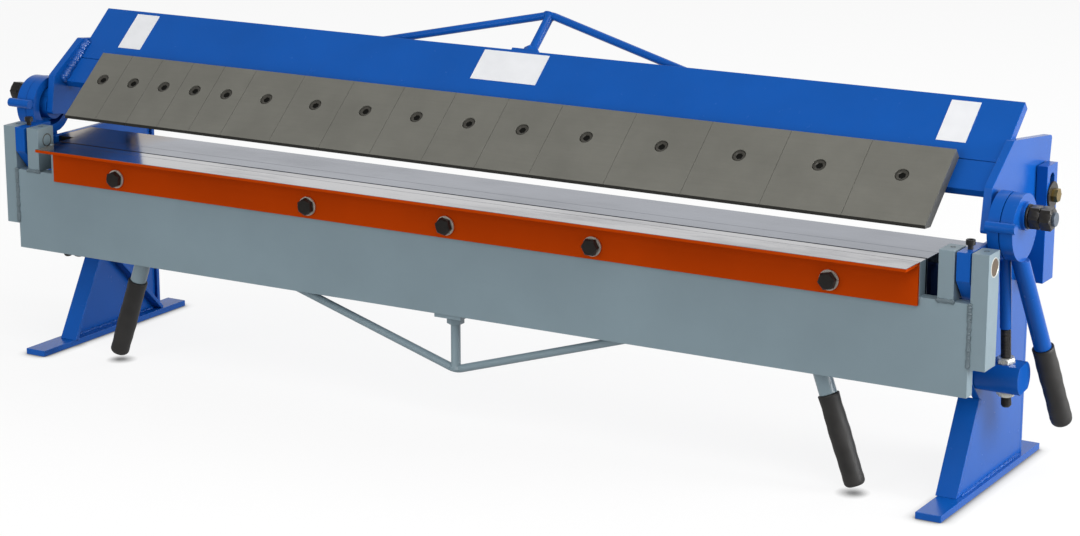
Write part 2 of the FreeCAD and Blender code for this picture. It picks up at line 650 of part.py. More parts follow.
def make_rear_pivots():
    y, z = BEAM_PIVOT.y, BEAM_PIVOT.z
    half = PIVOT_BLOCK_WIDTH / 2
    sides = (y - half, y + half)
    x_range = (PIVOT_BLOCK_INNER_X, PIVOT_BLOCK_OUTER_X)
    bottom = z - PIVOT_BLOCK_DROP
    body = block(x_range, sides, (bottom, z + PIVOT_BLOCK_RISE))
    low, high = z - PIVOT_SLOT_DROP, z + PIVOT_SLOT_RISE
    slot = block(x_range, (y - PIVOT_SLOT_RADIUS, y + PIVOT_SLOT_RADIUS), (low, high))
    for end_z in (low, high):
        slot = slot.fuse(hole(y, end_z, x_range, PIVOT_SLOT_RADIUS))
    spacer = block((SIDE_OUTER_X, PIVOT_BLOCK_INNER_X), sides, (bottom, z - PIVOT_SPACER_DROP))
    keep_pair("pivot_block", body.cut(slot).fuse(spacer).removeSplitter())

    washer_end = PIVOT_BLOCK_OUTER_X + PIVOT_WASHER_THICKNESS
    nut_start = END_PLATE_INNER_X - PIVOT_NUT_GAP - PIVOT_NUT_HEIGHT
    shank_radius = PIVOT_SLOT_RADIUS - RUNNING_FIT
    shank = hole(y, z, (nut_start, washer_end), shank_radius)
    head = hexagon(Vector(washer_end, y, z), X_AXIS, PIVOT_BOLT_FLATS, PIVOT_BOLT_HEAD)
    end_nut = hexagon(Vector(nut_start, y, z), X_AXIS, PIVOT_BOLT_FLATS, PIVOT_NUT_HEIGHT)
    parts["pivot_bolts"] = both(shank.fuse([head, end_nut]).removeSplitter())


def stud_open():
    return raised_point(STUD_Y, STUD_Z)


def eccentric_centre():
    return stud_open() + Vector(0, ECCENTRIC_SIDE, -ECCENTRIC_DROP)


def make_clamp_fasteners():
    stud = stud_open()
    parts["clamp_studs"] = both(hole(stud.y, stud.z, (END_PLATE_OUTER_X, STUD_END_X), STUD_RADIUS))
    nuts = []
    for index in range(2):
        start = Vector(CLAMP_NUT_X + index * CLAMP_NUT_HEIGHT, stud.y, stud.z)
        nuts += both(nut(start, X_AXIS, CLAMP_NUT_FLATS, CLAMP_NUT_HEIGHT, STUD_RADIUS))
    parts["clamp_nuts"] = nuts


def make_levers():
    """Each lever turns on its stud, and its disc and eccentric stand off the stud's axis."""
    for side, lean in (("right", 0), ("left", LEFT_LEVER_LEAN)):
        lever, hand_grip = clamp_lever(lean)
        if side == "left":
            lever, hand_grip = mirrored(lever), mirrored(hand_grip)
        parts[side + "_clamp_lever"] = lever
        parts[side + "_lever_grip"] = hand_grip


def clamp_lever(lean):
    """A right-hand lever and its grip, with the tube leaning further back by an angle."""
    stud = stud_open()
    centre = eccentric_centre()
    disc_wall = hole(centre.y, centre.z, (DISC_INNER_X - LEVER_RADIUS, DISC_OUTER_X + LEVER_RADIUS),
                     DISC_RADIUS)
    root = Vector(DISC_OUTER_X - LEVER_ROOT_INSET, stud.y, stud.z - LEVER_ROOT_DROP)
    end = Vector(DISC_OUTER_X + LEVER_END_OUTSET, stud.y + LEVER_END_REACH,
                 stud.z - LEVER_END_DROP)
    turn = FreeCAD.Rotation(X_AXIS, lean)
    root, end = [stud + turn.multVec(point - stud) for point in (root, end)]
    along = (end - root).normalize()
    tube_end = end - along * LEVER_GRIP_LENGTH
    lever = rod(root, tube_end, LEVER_RADIUS).cut(disc_wall)
    lever = lever.fuse([
        hole(centre.y, centre.z, (DISC_INNER_X, DISC_OUTER_X), DISC_RADIUS),
        hole(centre.y, centre.z, (CAM_INNER_X, DISC_INNER_X), ECCENTRIC_RADIUS),
        hole(stud.y, stud.z, (CAM_INNER_X, DISC_INNER_X), ECCENTRIC_CORE_RADIUS),
        hole(stud.y, stud.z, (DISC_OUTER_X, HUB_OUTER_X), HUB_RADIUS)])
    lever = lever.cut(hole(stud.y, stud.z, (CAM_INNER_X, HUB_OUTER_X), STUD_RADIUS + RUNNING_FIT))
    return lever.removeSplitter(), rod(tube_end, end, LEVER_GRIP_RADIUS)


def stop_bar(centre):
    """The short round bar on the strap's rim that stands over the disc and stops the lever."""
    turn = math.radians(STOP_BAR_ANGLE)
    reach = DISC_RADIUS + STOP_BAR_GAP + STOP_BAR_RADIUS
    middle = centre + Vector(0, math.cos(turn), math.sin(turn)) * reach
    bar_end = DISC_OUTER_X + STOP_BAR_PROUD
    return hole(middle.y, middle.z, (bar_end - STOP_BAR_LENGTH, bar_end), STOP_BAR_RADIUS)


def make_links():
    """Each link hangs from the eccentric and is held by nuts in a turning trunnion."""
    centre = eccentric_centre()
    middle = Vector(LINK_X, centre.y, centre.z)
    trunnion = Vector(LINK_X, TRUNNION_Y, TRUNNION_Z)
    down = (trunnion - middle).normalize()
    across = down.cross(X_AXIS)
    strap_start = Vector(STRAP_INNER_X, centre.y, centre.z)
    strap = ring(strap_start, STRAP_THICKNESS, X_AXIS, STRAP_OUTER_RADIUS, STRAP_INNER_RADIUS)
    seat = STRAP_OUTER_RADIUS - STRAP_FLAT_DEPTH
    reach = STRAP_OUTER_RADIUS
    beyond = slab_beyond(strap_start + down * seat, down, across, STRAP_THICKNESS, reach)
    sleeve_end = middle + down * LINK_SLEEVE_LENGTH
    strap = strap.cut(beyond).fuse([rod(middle + down * seat, sleeve_end, LINK_RADIUS),
                                    stop_bar(centre)])
    keep_pair("strap_link", strap.removeSplitter())
    keep_pair("link_stud", rod(sleeve_end, trunnion + down * LINK_STUD_TAIL, LINK_STUD_RADIUS))

    head_start = SIDE_OUTER_X + TRUNNION_SIDE_GAP
    head_range = (head_start, head_start + TRUNNION_LENGTH)
    body = hole(TRUNNION_Y, TRUNNION_Z, head_range, TRUNNION_RADIUS)
    nuts = []
    corner = Vector(head_start, TRUNNION_Y, TRUNNION_Z)
    for along in (-down, down):
        body = body.cut(slab_beyond(corner + along * TRUNNION_FLAT, along, across, TRUNNION_LENGTH,
                                    TRUNNION_RADIUS))
        nuts.append(nut(trunnion + along * TRUNNION_FLAT, along, LINK_NUT_FLATS, LINK_NUT_HEIGHT,
                        LINK_STUD_RADIUS, turned=0))
    journal_start = SIDE_INNER_X - 2 * MOVING_GAP
    body = body.fuse(hole(TRUNNION_Y, TRUNNION_Z, (journal_start, head_start),
                          TRUNNION_JOURNAL_RADIUS))
    body = body.cut(rod(trunnion - down * TRUNNION_FLAT, trunnion + down * TRUNNION_FLAT,
                        LINK_STUD_RADIUS))
    keep_pair("trunnion", body.removeSplitter())
    keep_pair("link_nuts", nuts)


def slab_beyond(start, outward, across, length, half_width):
    """A slab for milling a flat: it lies beyond a start point and runs along X."""
    first = start - across * half_width
    second = start + across * half_width
    corners = [first, second, second + outward * half_width, first + outward * half_width, first]
    return Part.Face(Part.makePolygon(corners)).extrude(X_AXIS * length)


def export_parts():
    os.makedirs("parts", exist_ok=True)
    for name, shape in sorted(parts.items()):
        items = shape if isinstance(shape, list) else [shape]
        solids = [solid for item in items for solid in item.Solids]
        whole = solids[0] if len(solids) == 1 else Part.makeCompound(solids)
        whole.exportStep("parts/" + name + ".step")


make_feet()
make_side_frames()
make_bed()
make_hinge_bearings()
make_apron()
make_bending_angle()
make_apron_truss()
make_apron_handles()
make_beam()
make_fingers()
make_end_plates()
make_beam_truss()
make_rear_pivots()
make_clamp_fasteners()
make_levers()
make_links()
export_parts()
print(len(parts), "nodes")
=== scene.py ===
"""Looks of a box and pan brake: enamelled steel frame, polished bed, fingers, levers and grips.

Lengths are in metres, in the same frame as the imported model. Sizes and places come from the
frame, and what the user would change is in the property groups.
"""

import json
import math
from functools import cache

import bmesh
import bpy
from bpy.props import FloatProperty, FloatVectorProperty, IntProperty, PointerProperty
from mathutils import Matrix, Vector

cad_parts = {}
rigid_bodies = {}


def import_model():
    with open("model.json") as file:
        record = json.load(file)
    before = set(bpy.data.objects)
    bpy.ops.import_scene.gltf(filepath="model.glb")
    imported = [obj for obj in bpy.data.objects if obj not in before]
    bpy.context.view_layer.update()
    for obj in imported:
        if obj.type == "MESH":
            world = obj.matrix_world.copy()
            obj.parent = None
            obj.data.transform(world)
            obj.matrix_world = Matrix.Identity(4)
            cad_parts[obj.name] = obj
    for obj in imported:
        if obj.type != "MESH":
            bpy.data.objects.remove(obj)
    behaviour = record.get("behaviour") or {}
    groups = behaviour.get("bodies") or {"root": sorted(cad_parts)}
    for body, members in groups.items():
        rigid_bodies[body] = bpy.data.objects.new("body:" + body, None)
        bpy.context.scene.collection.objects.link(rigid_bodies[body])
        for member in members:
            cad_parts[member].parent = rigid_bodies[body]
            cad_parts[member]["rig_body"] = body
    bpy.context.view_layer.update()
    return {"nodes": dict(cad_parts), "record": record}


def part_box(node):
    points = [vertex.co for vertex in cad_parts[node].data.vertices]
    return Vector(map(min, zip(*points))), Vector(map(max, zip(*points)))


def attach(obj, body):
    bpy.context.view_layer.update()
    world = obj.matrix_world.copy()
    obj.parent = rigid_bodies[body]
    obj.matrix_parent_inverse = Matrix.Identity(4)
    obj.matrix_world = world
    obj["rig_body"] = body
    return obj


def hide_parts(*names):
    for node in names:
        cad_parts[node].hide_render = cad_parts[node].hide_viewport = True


bl_info = {
    "name": "Box and pan brake finishes",
    "version": (1, 0, 0),
    "blender": (4, 5, 0),
    "location": "3D View > Sidebar > Brake",
    "description": "Dresses the model of a box and pan brake with its finishes, welds and threads",
    "category": "Object",
}

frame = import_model()

NODES = frame["nodes"]
SLOT_OF_NODE = {entry["node"]: entry["material_slot"] for entry in frame["record"]["subparts"]}
SIDES = ("left", "right")
MM = 0.001
UP = Vector((0, 0, 1))
WHITE = (1, 1, 1, 1)

# Corners nearer than this are one. Edges past the first angle are broken, and those of turned
# forms past the second one stay sharp. A flat face with this many corners is round.
MERGE = 0.004 * MM
BROKEN_ANGLE = math.radians(32)
SHARP_ANGLE = math.radians(35)
ROUND_CORNERS = 12

# Slope of the raised beam's front and thickness of its upper plate
BEAM_SLOPE = math.radians(40.5)
BEAM_PLATE = 12 * MM
BEAM_UP = Vector((0, math.cos(BEAM_SLOPE), math.sin(BEAM_SLOPE)))
BEAM_OUT = Vector((0, -BEAM_UP.z, BEAM_UP.y))

# Tones of bare steel and of the cards, and where the bed's left end stops being brown
BED_TONE = (0.208, 0.23, 0.28)
BED_BROWN = (0.1872, 0.138, 0.1008)
EDGE_TONE = (0.46, 0.46, 0.475)
EDGE_STAIN = (0.2, 0.2, 0.22)
EDGE_BROWN = (0.3, 0.2, 0.12)
CARD_DARK = (0.70, 0.71, 0.73)
CARD_LIGHT = (0.75, 0.76, 0.78)
BROWN_ENDS = (-0.54, -0.49)

# Material name, tone, roughness and metallic share of the plated and oxidised finishes
PLATED = {
    "black_bolts": ("black_oxide", (0.024, 0.022, 0.02), 0.36, 0.3),
    "zinc": ("zinc_plate", (0.66, 0.66, 0.6), 0.3, 0.5),
    "yellow_zinc": ("yellow_plate", (0.27, 0.19, 0.06), 0.34, 1.0),
    "stud_steel": ("stud_steel", (0.10, 0.125, 0.16), 0.34, 0.5),
    "screw_oxide": ("screw_oxide", (0.076, 0.072, 0.062), 0.28, 0.4),
    "pin_steel": ("pin_steel", (0.17, 0.125, 0.08), 0.42, 0.7),
}

# Place, target, width and power of each lamp, and whether mirrors see it
LAMPS = {
    "key": ((1.9, -1.8, 2.7), (0.2, 0, 0.25), 2.4, 42.0, True),
    "fill": ((-0.9, -3.6, 0.9), (0.2, 0, 0.3), 2.4, 63.0, False),
    "rear": ((0.6, 2.4, 2.4), (0, 0, 0.4), 2.4, 18.0, True),
    "side": ((2.9, 0.5, 0.8), (0.6, 0, 0.25), 1.6, 72.0, True),
}

# Half the floor's width, how far the shade under the brake reaches, and how much of the floor's
# own glow the camera sees
FLOOR_HALF = 20.0
SHADE_REACH = 0.016
GLOW_TONE = (0.99, 0.99, 0.99, 1)
GLOW_SHARE = 0.84

# Strength of the surroundings as light, then start, end, low and high of ramps: that shade, and
# the brightness of floor and surroundings in mirrors, from front to rear
SKY_LIGHT = 0.6
SHADE_RAMP = (0.1, 1.0, 0.5, 0.98)
MIRRORED_FLOOR = (0.14, 1.0, -0.6, 0.5)
MIRRORED_SKY = (0.18, 0.95, 0.1, 0.8)


def length(name, description, millimetres):
    return FloatProperty(name=name, description=description, default=millimetres * MM,
                         unit="LENGTH")


def colour(name, description, default):
    return FloatVectorProperty(name=name, description=description, subtype="COLOR",
                               default=default)


def edges_of(label, default):
    return FloatVectorProperty(name=label.capitalize(), description="Edges of the " + label,
                               size=4, unit="LENGTH", default=default)


class PaintSettings(bpy.types.PropertyGroup):
    """Colours of the painted pieces, the fingers and the grips."""

    blue: colour("Blue enamel", "Frame, beam, levers and links", (0.0035, 0.078, 0.355))
    grey: colour("Grey enamel", "Apron, its ears and handles", (0.182, 0.248, 0.282))
    orange: colour("Orange enamel", "Front of the bending angle", (0.375, 0.038, 0.0001))
    finger: colour("Finger finish", "Clamping fingers", (0.197, 0.194, 0.169))
    rubber: colour("Rubber", "Grips", (0.018, 0.017, 0.016))


class DetailSettings(bpy.types.PropertyGroup):
    """Sizes of edges, welds and threads."""

    edge: length("Edge break", "Width of the broken edges of plates", 0.7)
    weld_radius: length("Weld radius", "Half the width of a weld bead", 2.6)
    weld_pitch: length("Weld pitch", "Step between ripples of a bead", 1.7)
    weld_seed: IntProperty(name="Weld seed", description="Seed of the ripples' sizes", default=7)
    thread_pitch: length("Thread pitch", "Pitch of the coarse threads", 1.75)
    bolt_flats: length("Bolt flats", "Across the flats of bolts and nuts", 19)
    nut_flats: length("Clamp nut flats", "Across the flats of clamp nuts", 24)
    nose_land: length("Nose land", "Cut across the fingers' noses", 4.0)
    screw_radius: length("Finger screw", "Radius of the screws' heads", 8)
    truss_bend: length("Truss bend", "Bending radius of the truss bars", 30)


class LabelSettings(bpy.types.PropertyGroup):
    """Places of the blank labels: left, right, lower and upper edge on the beam's front."""

    outer_left: edges_of("left label", (-0.605, -0.568, 0.022, 0.0815))
    middle: edges_of("middle label", (-0.0535, 0.0405, 0.035, 0.0825))
    outer_right: edges_of("right label", (0.574, 0.61, 0.0205, 0.0795))


class StageSettings(bpy.types.PropertyGroup):
    """Camera and floor."""

    lens: FloatProperty(name="Lens", description="Focal length of the camera", default=91.38,
                        unit="CAMERA")
    eye: FloatVectorProperty(name="Eye", description="Place of the camera", subtype="TRANSLATION",
                             default=(1.7372, -2.8327, 1.0291))
    azimuth: FloatProperty(name="Azimuth", description="Turn of the camera", subtype="ANGLE",
                           default=math.radians(30.6485))
    drop: FloatProperty(name="Drop", description="How far the camera looks down",
                        subtype="ANGLE", default=math.radians(14.4371))
    floor: colour("Floor", "Colour of the floor", (0.94, 0.94, 0.94))
    bounce: colour("Bounce", "What the floor throws back at pieces", (0.4, 0.4, 0.41))


def settings(group):
    return getattr(bpy.context.scene, group)


# Materials


class Wiring:
    """A node tree that is written node by node."""

    def __init__(self, tree):
        self.tree = tree

    def node(self, kind, sockets=None, **options):
        """Add a node with its options, and with values or links in its sockets."""
        made = self.tree.nodes.new(kind)
        for key, value in options.items():
            setattr(made, key, value)
        for key, value in (sockets or {}).items():
            if isinstance(value, bpy.types.NodeSocket):
                self.tree.links.new(value, made.inputs[key])
            else:
                made.inputs[key].default_value = value
        return made

    def ramp(self, factor, start=0.0, end=1.0, low=0.3, high=0.7):
        """Map a factor to a value between start and end; noise mostly lies from 0.3 to 0.7."""
        return self.node("ShaderNodeMapRange", {
            "Value": factor, "From Min": low, "From Max": high, "To Min": start,
            "To Max": end}).outputs["Result"]


class Finish(Wiring):
    """A procedural material on Object coordinates."""

    def __init__(self, name):
        self.material = bpy.data.materials.new(name)
        self.material.use_nodes = True
        super().__init__(self.material.node_tree)
        self.tree.nodes.clear()
        self.object_space = self.node("ShaderNodeTexCoord").outputs["Object"]

    def noise(self, scale, detail, roughness=0.55, stretch=(1, 1, 1)):
        """Noise over the object; scale is in features per metre."""
        mapping = self.node("ShaderNodeMapping", {"Vector": self.object_space, "Scale": stretch})
        return self.node("ShaderNodeTexNoise", {
            "Vector": mapping.outputs["Vector"], "Scale": scale, "Detail": detail,
            "Roughness": roughness}).outputs["Fac"]

    def maths(self, operation, first, second):
        return self.node("ShaderNodeMath", {0: first, 1: second}, operation=operation).outputs[0]

    def mix(self, factor, first, second):
        """Mix two colours."""
        return self.node("ShaderNodeMix", {0: factor, 6: rgba(first), 7: rgba(second)},
                         data_type="RGBA").outputs[2]

    def shades(self, factor, tone, first, second):
        """Mix two shades of a tone, each given as a share of it."""
        return self.mix(factor, shade(tone, first), shade(tone, second))

    def axis(self, name):
        """One coordinate of the object space."""
        return self.node("ShaderNodeSeparateXYZ", {0: self.object_space}).outputs[name]

    def bump(self, height, strength, depth, **below):
        """Bumps of a depth in millimetres, over others if Normal is given."""
        return self.node("ShaderNodeBump", {
            "Height": height, "Strength": strength, "Distance": depth * MM,
            **below}).outputs["Normal"]

    def show(self, shader):
        self.node("ShaderNodeOutputMaterial", {"Surface": shader.outputs[0]})
        return self.material

    def surface(self, sockets):
        return self.show(self.node("ShaderNodeBsdfPrincipled", sockets))


def rgba(tone):
    """A tone with full alpha, or a socket as it is."""
    return tone if isinstance(tone, bpy.types.NodeSocket) else (*tone[:3], 1.0)


def shade(tone, factor):
    return tuple(channel * factor for channel in tone[:3])


def enamel(name, tone, roughness, shine, mottle=0.06, peel=0.05):
    """Sprayed enamel: slight clouding, orange peel and dust in the gloss."""
    finish = Finish(name)
    clouds = finish.ramp(finish.noise(9.0, 4.0))
    dust = finish.noise(60.0, 5.0, 0.7)
    return finish.surface({
        "Base Color": finish.shades(clouds, tone, 1 - mottle, 1 + mottle),
        "Roughness": finish.ramp(dust, roughness * 0.85, roughness * 1.2, 0.3, 0.75),
        "Normal": finish.bump(finish.noise(420.0, 2.0), peel, 0.3),
        "Specular IOR Level": shine})


def ground_steel():
    """Steel ground along the bed, with fine lines and faint stains of oil."""
    finish = Finish("ground_steel")
    lines = finish.noise(900.0, 2.0, 0.5, stretch=(0.012, 1, 1))
    stains = finish.noise(11.0, 5.0, 0.6, stretch=(0.5, 1, 1))
    base = finish.shades(finish.ramp(stains, 0, 1, 0.35, 0.75), BED_TONE, 1.0, 0.82)
    rough = finish.maths("ADD", finish.ramp(lines, -0.03, 0.05),
                         finish.ramp(stains, 0.12, 0.225, 0.35, 0.7))
    return finish.surface({
        "Base Color": finish.mix(browned(finish, stains), base, BED_BROWN), "Metallic": 1.0,
        "Roughness": rough, "Normal": finish.bump(lines, 0.06, 0.05)})


def browned(finish, stains):
    """Where the bed's steel has browned, at its left end."""
    along = finish.maths("ADD", finish.axis("X"), finish.ramp(stains, -0.02, 0.02))
    return finish.ramp(along, 1.0, 0.0, *BROWN_ENDS)


def ground_enamel(name, tone, node, shine):
    """Enamel that is ground off a node's upper face, with chips along the paint's edge."""
    finish = Finish(name)
    paint = finish.shades(finish.ramp(finish.noise(7.0, 4.0)), tone, 0.93, 1.06)
    chips = finish.ramp(finish.noise(90.0, 5.0, 0.7), -0.12 * MM, 0.25 * MM, 0.35, 0.7)
    depth = finish.maths("SUBTRACT", finish.axis("Z"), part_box(node)[1].z)
    bare = finish.ramp(finish.maths("ADD", depth, chips), 0, 1, -0.35 * MM, -0.2 * MM)
    stains = finish.ramp(finish.noise(9.0, 6.0, 0.62, stretch=(0.5, 2, 1)), 0, 1, 0.48, 0.72)
    steel = finish.mix(stains, EDGE_TONE, EDGE_STAIN)
    steel = finish.mix(browned(finish, stains), steel, EDGE_BROWN)
    return finish.surface({
        "Base Color": finish.mix(bare, paint, steel), "Metallic": bare,
        "Roughness": finish.ramp(bare, 0.42, 0.13, 0, 1), "Specular IOR Level": shine,
        "Normal": finish.bump(finish.noise(380.0, 2.0), 0.03, 0.2)})


def finger_finish():
    """Ground fingers with faint lines along the row, soft stains, and noses painted dark as shade.
    """
    finish = Finish("finger_steel")
    tone = settings("brake_paint").finger
    brushed = finish.noise(420.0, 3.0, 0.6, stretch=(0.03, 1, 1))
    clouds = finish.noise(12.0, 5.0, 0.65)
    base = finish.shades(finish.ramp(clouds, 0, 1, 0.3, 0.72), tone, 0.9, 1.1)
    base = finish.mix(finish.ramp(brushed, 0.0, 0.22, 0.4, 0.75), base, shade(tone, 0.8))
    # The upright land at the noses takes a near black tone: painted shade on a face that looks down
    # over the bed.
    behind = finish.maths("SUBTRACT", finish.axis("Y"), nose_face())
    land = finish.ramp(behind, 1.0, 0.0, 0.15 * MM, 0.3 * MM)
    return finish.surface({
        "Base Color": finish.mix(land, base, shade(tone, 0.16)), "Metallic": 0.35,
        "Roughness": finish.ramp(clouds, 0.42, 0.52), "Normal": finish.bump(brushed, 0.05, 0.1)})


def plated(name, tone, roughness, metallic):
    """Plated or oxidised hardware with a fine grain."""
    finish = Finish(name)
    grain = finish.noise(260.0, 4.0, 0.65)
    return finish.surface({
        "Base Color": finish.shades(finish.ramp(grain), tone, 0.8, 1.12), "Metallic": metallic,
        "Roughness": finish.ramp(grain, roughness * 0.8, roughness * 1.25),
        "Normal": finish.bump(grain, 0.08, 0.1)})


def grip_rubber():
    """Dipped rubber: matte, with a leathery fine grain and shallow flow marks."""
    finish = Finish("grip_rubber")
    grain = finish.noise(900.0, 3.0, 0.6)
    flow = finish.noise(45.0, 3.0, 0.5)
    return finish.surface({
        "Base Color": finish.shades(finish.ramp(flow), settings("brake_paint").rubber, 0.8, 1.4),
        "Roughness": finish.ramp(flow, 0.5, 0.68),
        "Normal": finish.bump(flow, 0.25, 0.5, Normal=finish.bump(grain, 0.12, 0.2))})


def label_card():
    """Blank white vinyl with faint clouds."""
    finish = Finish("blank_label")
    return finish.surface({
        "Base Color": finish.mix(finish.ramp(finish.noise(30.0, 3.0)), CARD_DARK, CARD_LIGHT),
        "Roughness": 0.35, "Normal": finish.bump(finish.noise(200.0, 2.0), 0.03, 0.1)})


@cache
def finish_for(slot):
    """The material of a slot, or of what looks different within one, made once."""
    if slot == "beam_blue":
        return finish_for("frame_blue")
    if slot in PLATED:
        return plated(*PLATED[slot])
    makers = {"bed_steel": ground_steel, "finger_grey": finger_finish,
              "grip_rubber": grip_rubber, "label": label_card}
    if slot in makers:
        return makers[slot]()
    paint = settings("brake_paint")
    ground = {"apron_plate": ("ground_grey", paint.grey, "apron_plate", 0.8),
              "angle_orange": ("ground_orange", paint.orange, "bending_angle", 0.03)}
    if slot in ground:
        return ground_enamel(*ground[slot])
    sprayed = {
        "frame_blue": ("blue_enamel", paint.blue, 0.24, 0.24, 0.06, 0.0),
        "apron_grey": ("grey_enamel", paint.grey, 0.4, 0.9, 0.035, 0.03),
        # Near black blue, as painted shade on the bed's front wall.
        "shaded_blue": ("shaded_blue", (0.008, 0.02, 0.07), 0.5, 0.1),
        # Near black for the painted shade in the finger screws' counterbores and sockets.
        "old_oil": ("old_oil", (0.006, 0.006, 0.005), 0.6, 0.15, 0.06, 0.1),
        "weld_blue": ("weld_blue", paint.blue, 0.16, 1.0, 0.06, 0.3),
        # The grey enamel darkened, as painted shade on the rough weld beads.
        "weld_grey": ("weld_grey", shade(paint.grey, 0.62), 0.36, 0.9),
    }
    return enamel(*sprayed[slot])


# Mesh helpers


def linked(name, data):
    """A new object in the scene."""
    piece = bpy.data.objects.new(name, data)
    bpy.context.scene.collection.objects.link(piece)
    return piece


def mesh_piece(name, vertices, edges, faces):
    data = bpy.data.meshes.new(name)
    data.from_pydata(vertices, edges, faces)
    return linked(name, data)


def applied(piece):
    """Turn a piece's modifiers into plain mesh."""
    bpy.context.view_layer.update()
    graph = bpy.context.evaluated_depsgraph_get()
    mesh = bpy.data.meshes.new_from_object(piece.evaluated_get(graph))
    piece.modifiers.clear()
    piece.data = mesh


def seat(piece, node, slot=None, replace=False):
    """Give a finished piece a node's body, and let it replace the node."""
    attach(piece, NODES[node]["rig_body"])
    slot or SLOT_OF_NODE[node]
    if replace:
        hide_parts(node)


def merged(node, angle, **limits):
    """The mesh of a node with merged corners and whole flat faces."""
    mesh = bmesh.new()
    mesh.from_mesh(NODES[node].data)
    bmesh.ops.remove_doubles(mesh, verts=mesh.verts, dist=MERGE)
    bmesh.ops.dissolve_limit(mesh, angle_limit=math.radians(angle), verts=mesh.verts,
                             edges=mesh.edges, **limits)
    return mesh


def smooth_into(mesh, data):
    """Write a mesh into a piece's data, with every face smooth."""
    for face in mesh.faces:
        face.smooth = True
    mesh.to_mesh(data)
    mesh.free()


def soften(node, width=None, finish=None, shaping=None):
    """A copy of a node with merged facets and broken edges, standing for the node."""
    piece = linked("dressed_" + node, NODES[node].data.copy())
    mesh = merged(node, 1.0, delimit={"NORMAL"})
    if shaping:
        shaping(mesh)
    smooth_into(mesh, piece.data)
    if piece.data.has_custom_normals:
        piece.data.attributes.remove(piece.data.attributes["custom_normal"])
    bevel = piece.modifiers.new("edge_break", "BEVEL")
    bevel.width = width or settings("brake_detail").edge
    bevel.segments = 2
    bevel.limit_method = "ANGLE"
    bevel.angle_limit = BROKEN_ANGLE
    weighted = piece.modifiers.new("flat_faces", "WEIGHTED_NORMAL")
    weighted.weight = 80
    applied(piece)
    piece.data.materials.clear()
    piece.data.materials.append(finish_for(finish or SLOT_OF_NODE[node]))
    seat(piece, node, replace=True)


def soften_all(nodes, width=None):
    for node in nodes:
        soften(node, width)


def both_sides(*names):
    return [side + "_" + name for side in SIDES for name in names]


def discs(node):
    """Centre, outward direction and radius of each flat round face of a node."""
    mesh = merged(node, 0.5)
    found = []
    for face in mesh.faces:
        if len(face.verts) < ROUND_CORNERS:
            continue
        corners = [vertex.co for vertex in face.verts]
        centre = sum(corners, Vector()) / len(corners)
        reaches = [(corner - centre).length for corner in corners]
        if max(reaches) - min(reaches) <= 0.1 * MM:
            found.append((centre, face.normal.copy(), max(reaches)))
    mesh.free()
    return sorted(found, key=lambda disc: (round(disc[0].x, 5), disc[0].y))


def solids_of(node):
    """The corner points of each separate solid of a node, from left to right."""
    mesh = merged(node, 0.5)
    left = set(mesh.verts)
    groups = []
    while left:
        queue = [left.pop()]
        group = []
        while queue:
            vertex = queue.pop()
            group.append(vertex.co.copy())
            for edge in vertex.link_edges:
                other = edge.other_vert(vertex)
                if other in left:
                    left.remove(other)
                    queue.append(other)
        groups.append(group)
    mesh.free()
    return sorted(groups, key=lambda group: [round(value, 4) for value in middle(group)])


def beside(reach, place):
    """The point at the height and depth of a place, so far along the brake."""
    return Vector((reach, place.y, place.z))


def outer_reach(node):
    """How far a node reaches to its side of the brake's middle."""
    return max(abs(corner.x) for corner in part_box(node))


def middle(points):
    """Centre of the box round some points."""
    return Vector([(min(values) + max(values)) / 2 for values in zip(*points)])


class Shapes:
    """Turned, swept and flat forms gathered into one mesh."""

    def __init__(self):
        self.vertices = []
        self.faces = []

    def rings(self, rings, closed=True):
        """Join rings of points into a skin, with its ends closed by flat faces."""
        start = len(self.vertices)
        count = len(rings[0])
        for ring in rings:
            self.vertices += ring
        for row in range(len(rings) - 1):
            base = start + row * count
            for step in range(count):
                after = (step + 1) % count
                self.faces.append((base + step, base + after, base + count + after,
                                   base + count + step))
        if closed:
            for first in (start, len(self.vertices) - count):
                self.faces.append(tuple(range(first, first + count)))

    def turned(self, profile, start, axis, turn=0.0, steps=36, closed=True):
        """Turn a profile of (radius, distance) about an axis; (flats, distance, 6) is hexagonal."""
        axis = axis.normalized()
        upright = abs(axis.z) > 0.9
        across = (axis.orthogonal() if upright else axis.cross(UP)).normalized()
        upward = axis.cross(across)
        rings = []
        for radius, along, *sides in profile:
            ring = []
            for step in range(steps):
                angle = math.tau * step / steps
                reach = radius
                if sides:
                    sector = math.tau / sides[0]
                    reach = radius / 2 / math.cos(angle % sector - sector / 2)
                spin = angle + turn
                ring.append(start + axis * along
                            + (across * math.cos(spin) + upward * math.sin(spin)) * reach)
            rings.append(ring)
        self.rings(rings, closed)

    def swept(self, path, radius, steps=24):
        """Sweep a round section along a plane path."""
        normal = (path[1] - path[0]).cross(path[-1] - path[0]).normalized()
        turns = [math.tau * step / steps for step in range(steps)]
        rings = []
        for index, point in enumerate(path):
            before = path[max(index - 1, 0)]
            after = path[min(index + 1, len(path) - 1)]
            side = (after - before).normalized().cross(normal)
            rings.append([point + (normal * math.cos(turn) + side * math.sin(turn)) * radius
                          for turn in turns])
        self.rings(rings)

    def slab(self, corner, first, second, third):
        """A box from a corner and its three edges."""
        ring = [corner, corner + first, corner + first + second, corner + second]
        self.rings([ring, [point + third for point in ring]])

    def seat(self, name, node, slot=None, finish=None, replace=False, sharp=SHARP_ANGLE):
        """Make the gathered forms one piece with outward faces, and seat it."""
        piece = mesh_piece(name, self.vertices, [], self.faces)
        mesh = bmesh.new()
        mesh.from_mesh(piece.data)
        bmesh.ops.recalc_face_normals(mesh, faces=mesh.faces)
        smooth_into(mesh, piece.data)
        piece.data.set_sharp_from_angle(angle=sharp)
        piece.data.materials.append(finish_for(finish or slot or SLOT_OF_NODE[node]))
        seat(piece, node, slot, replace)


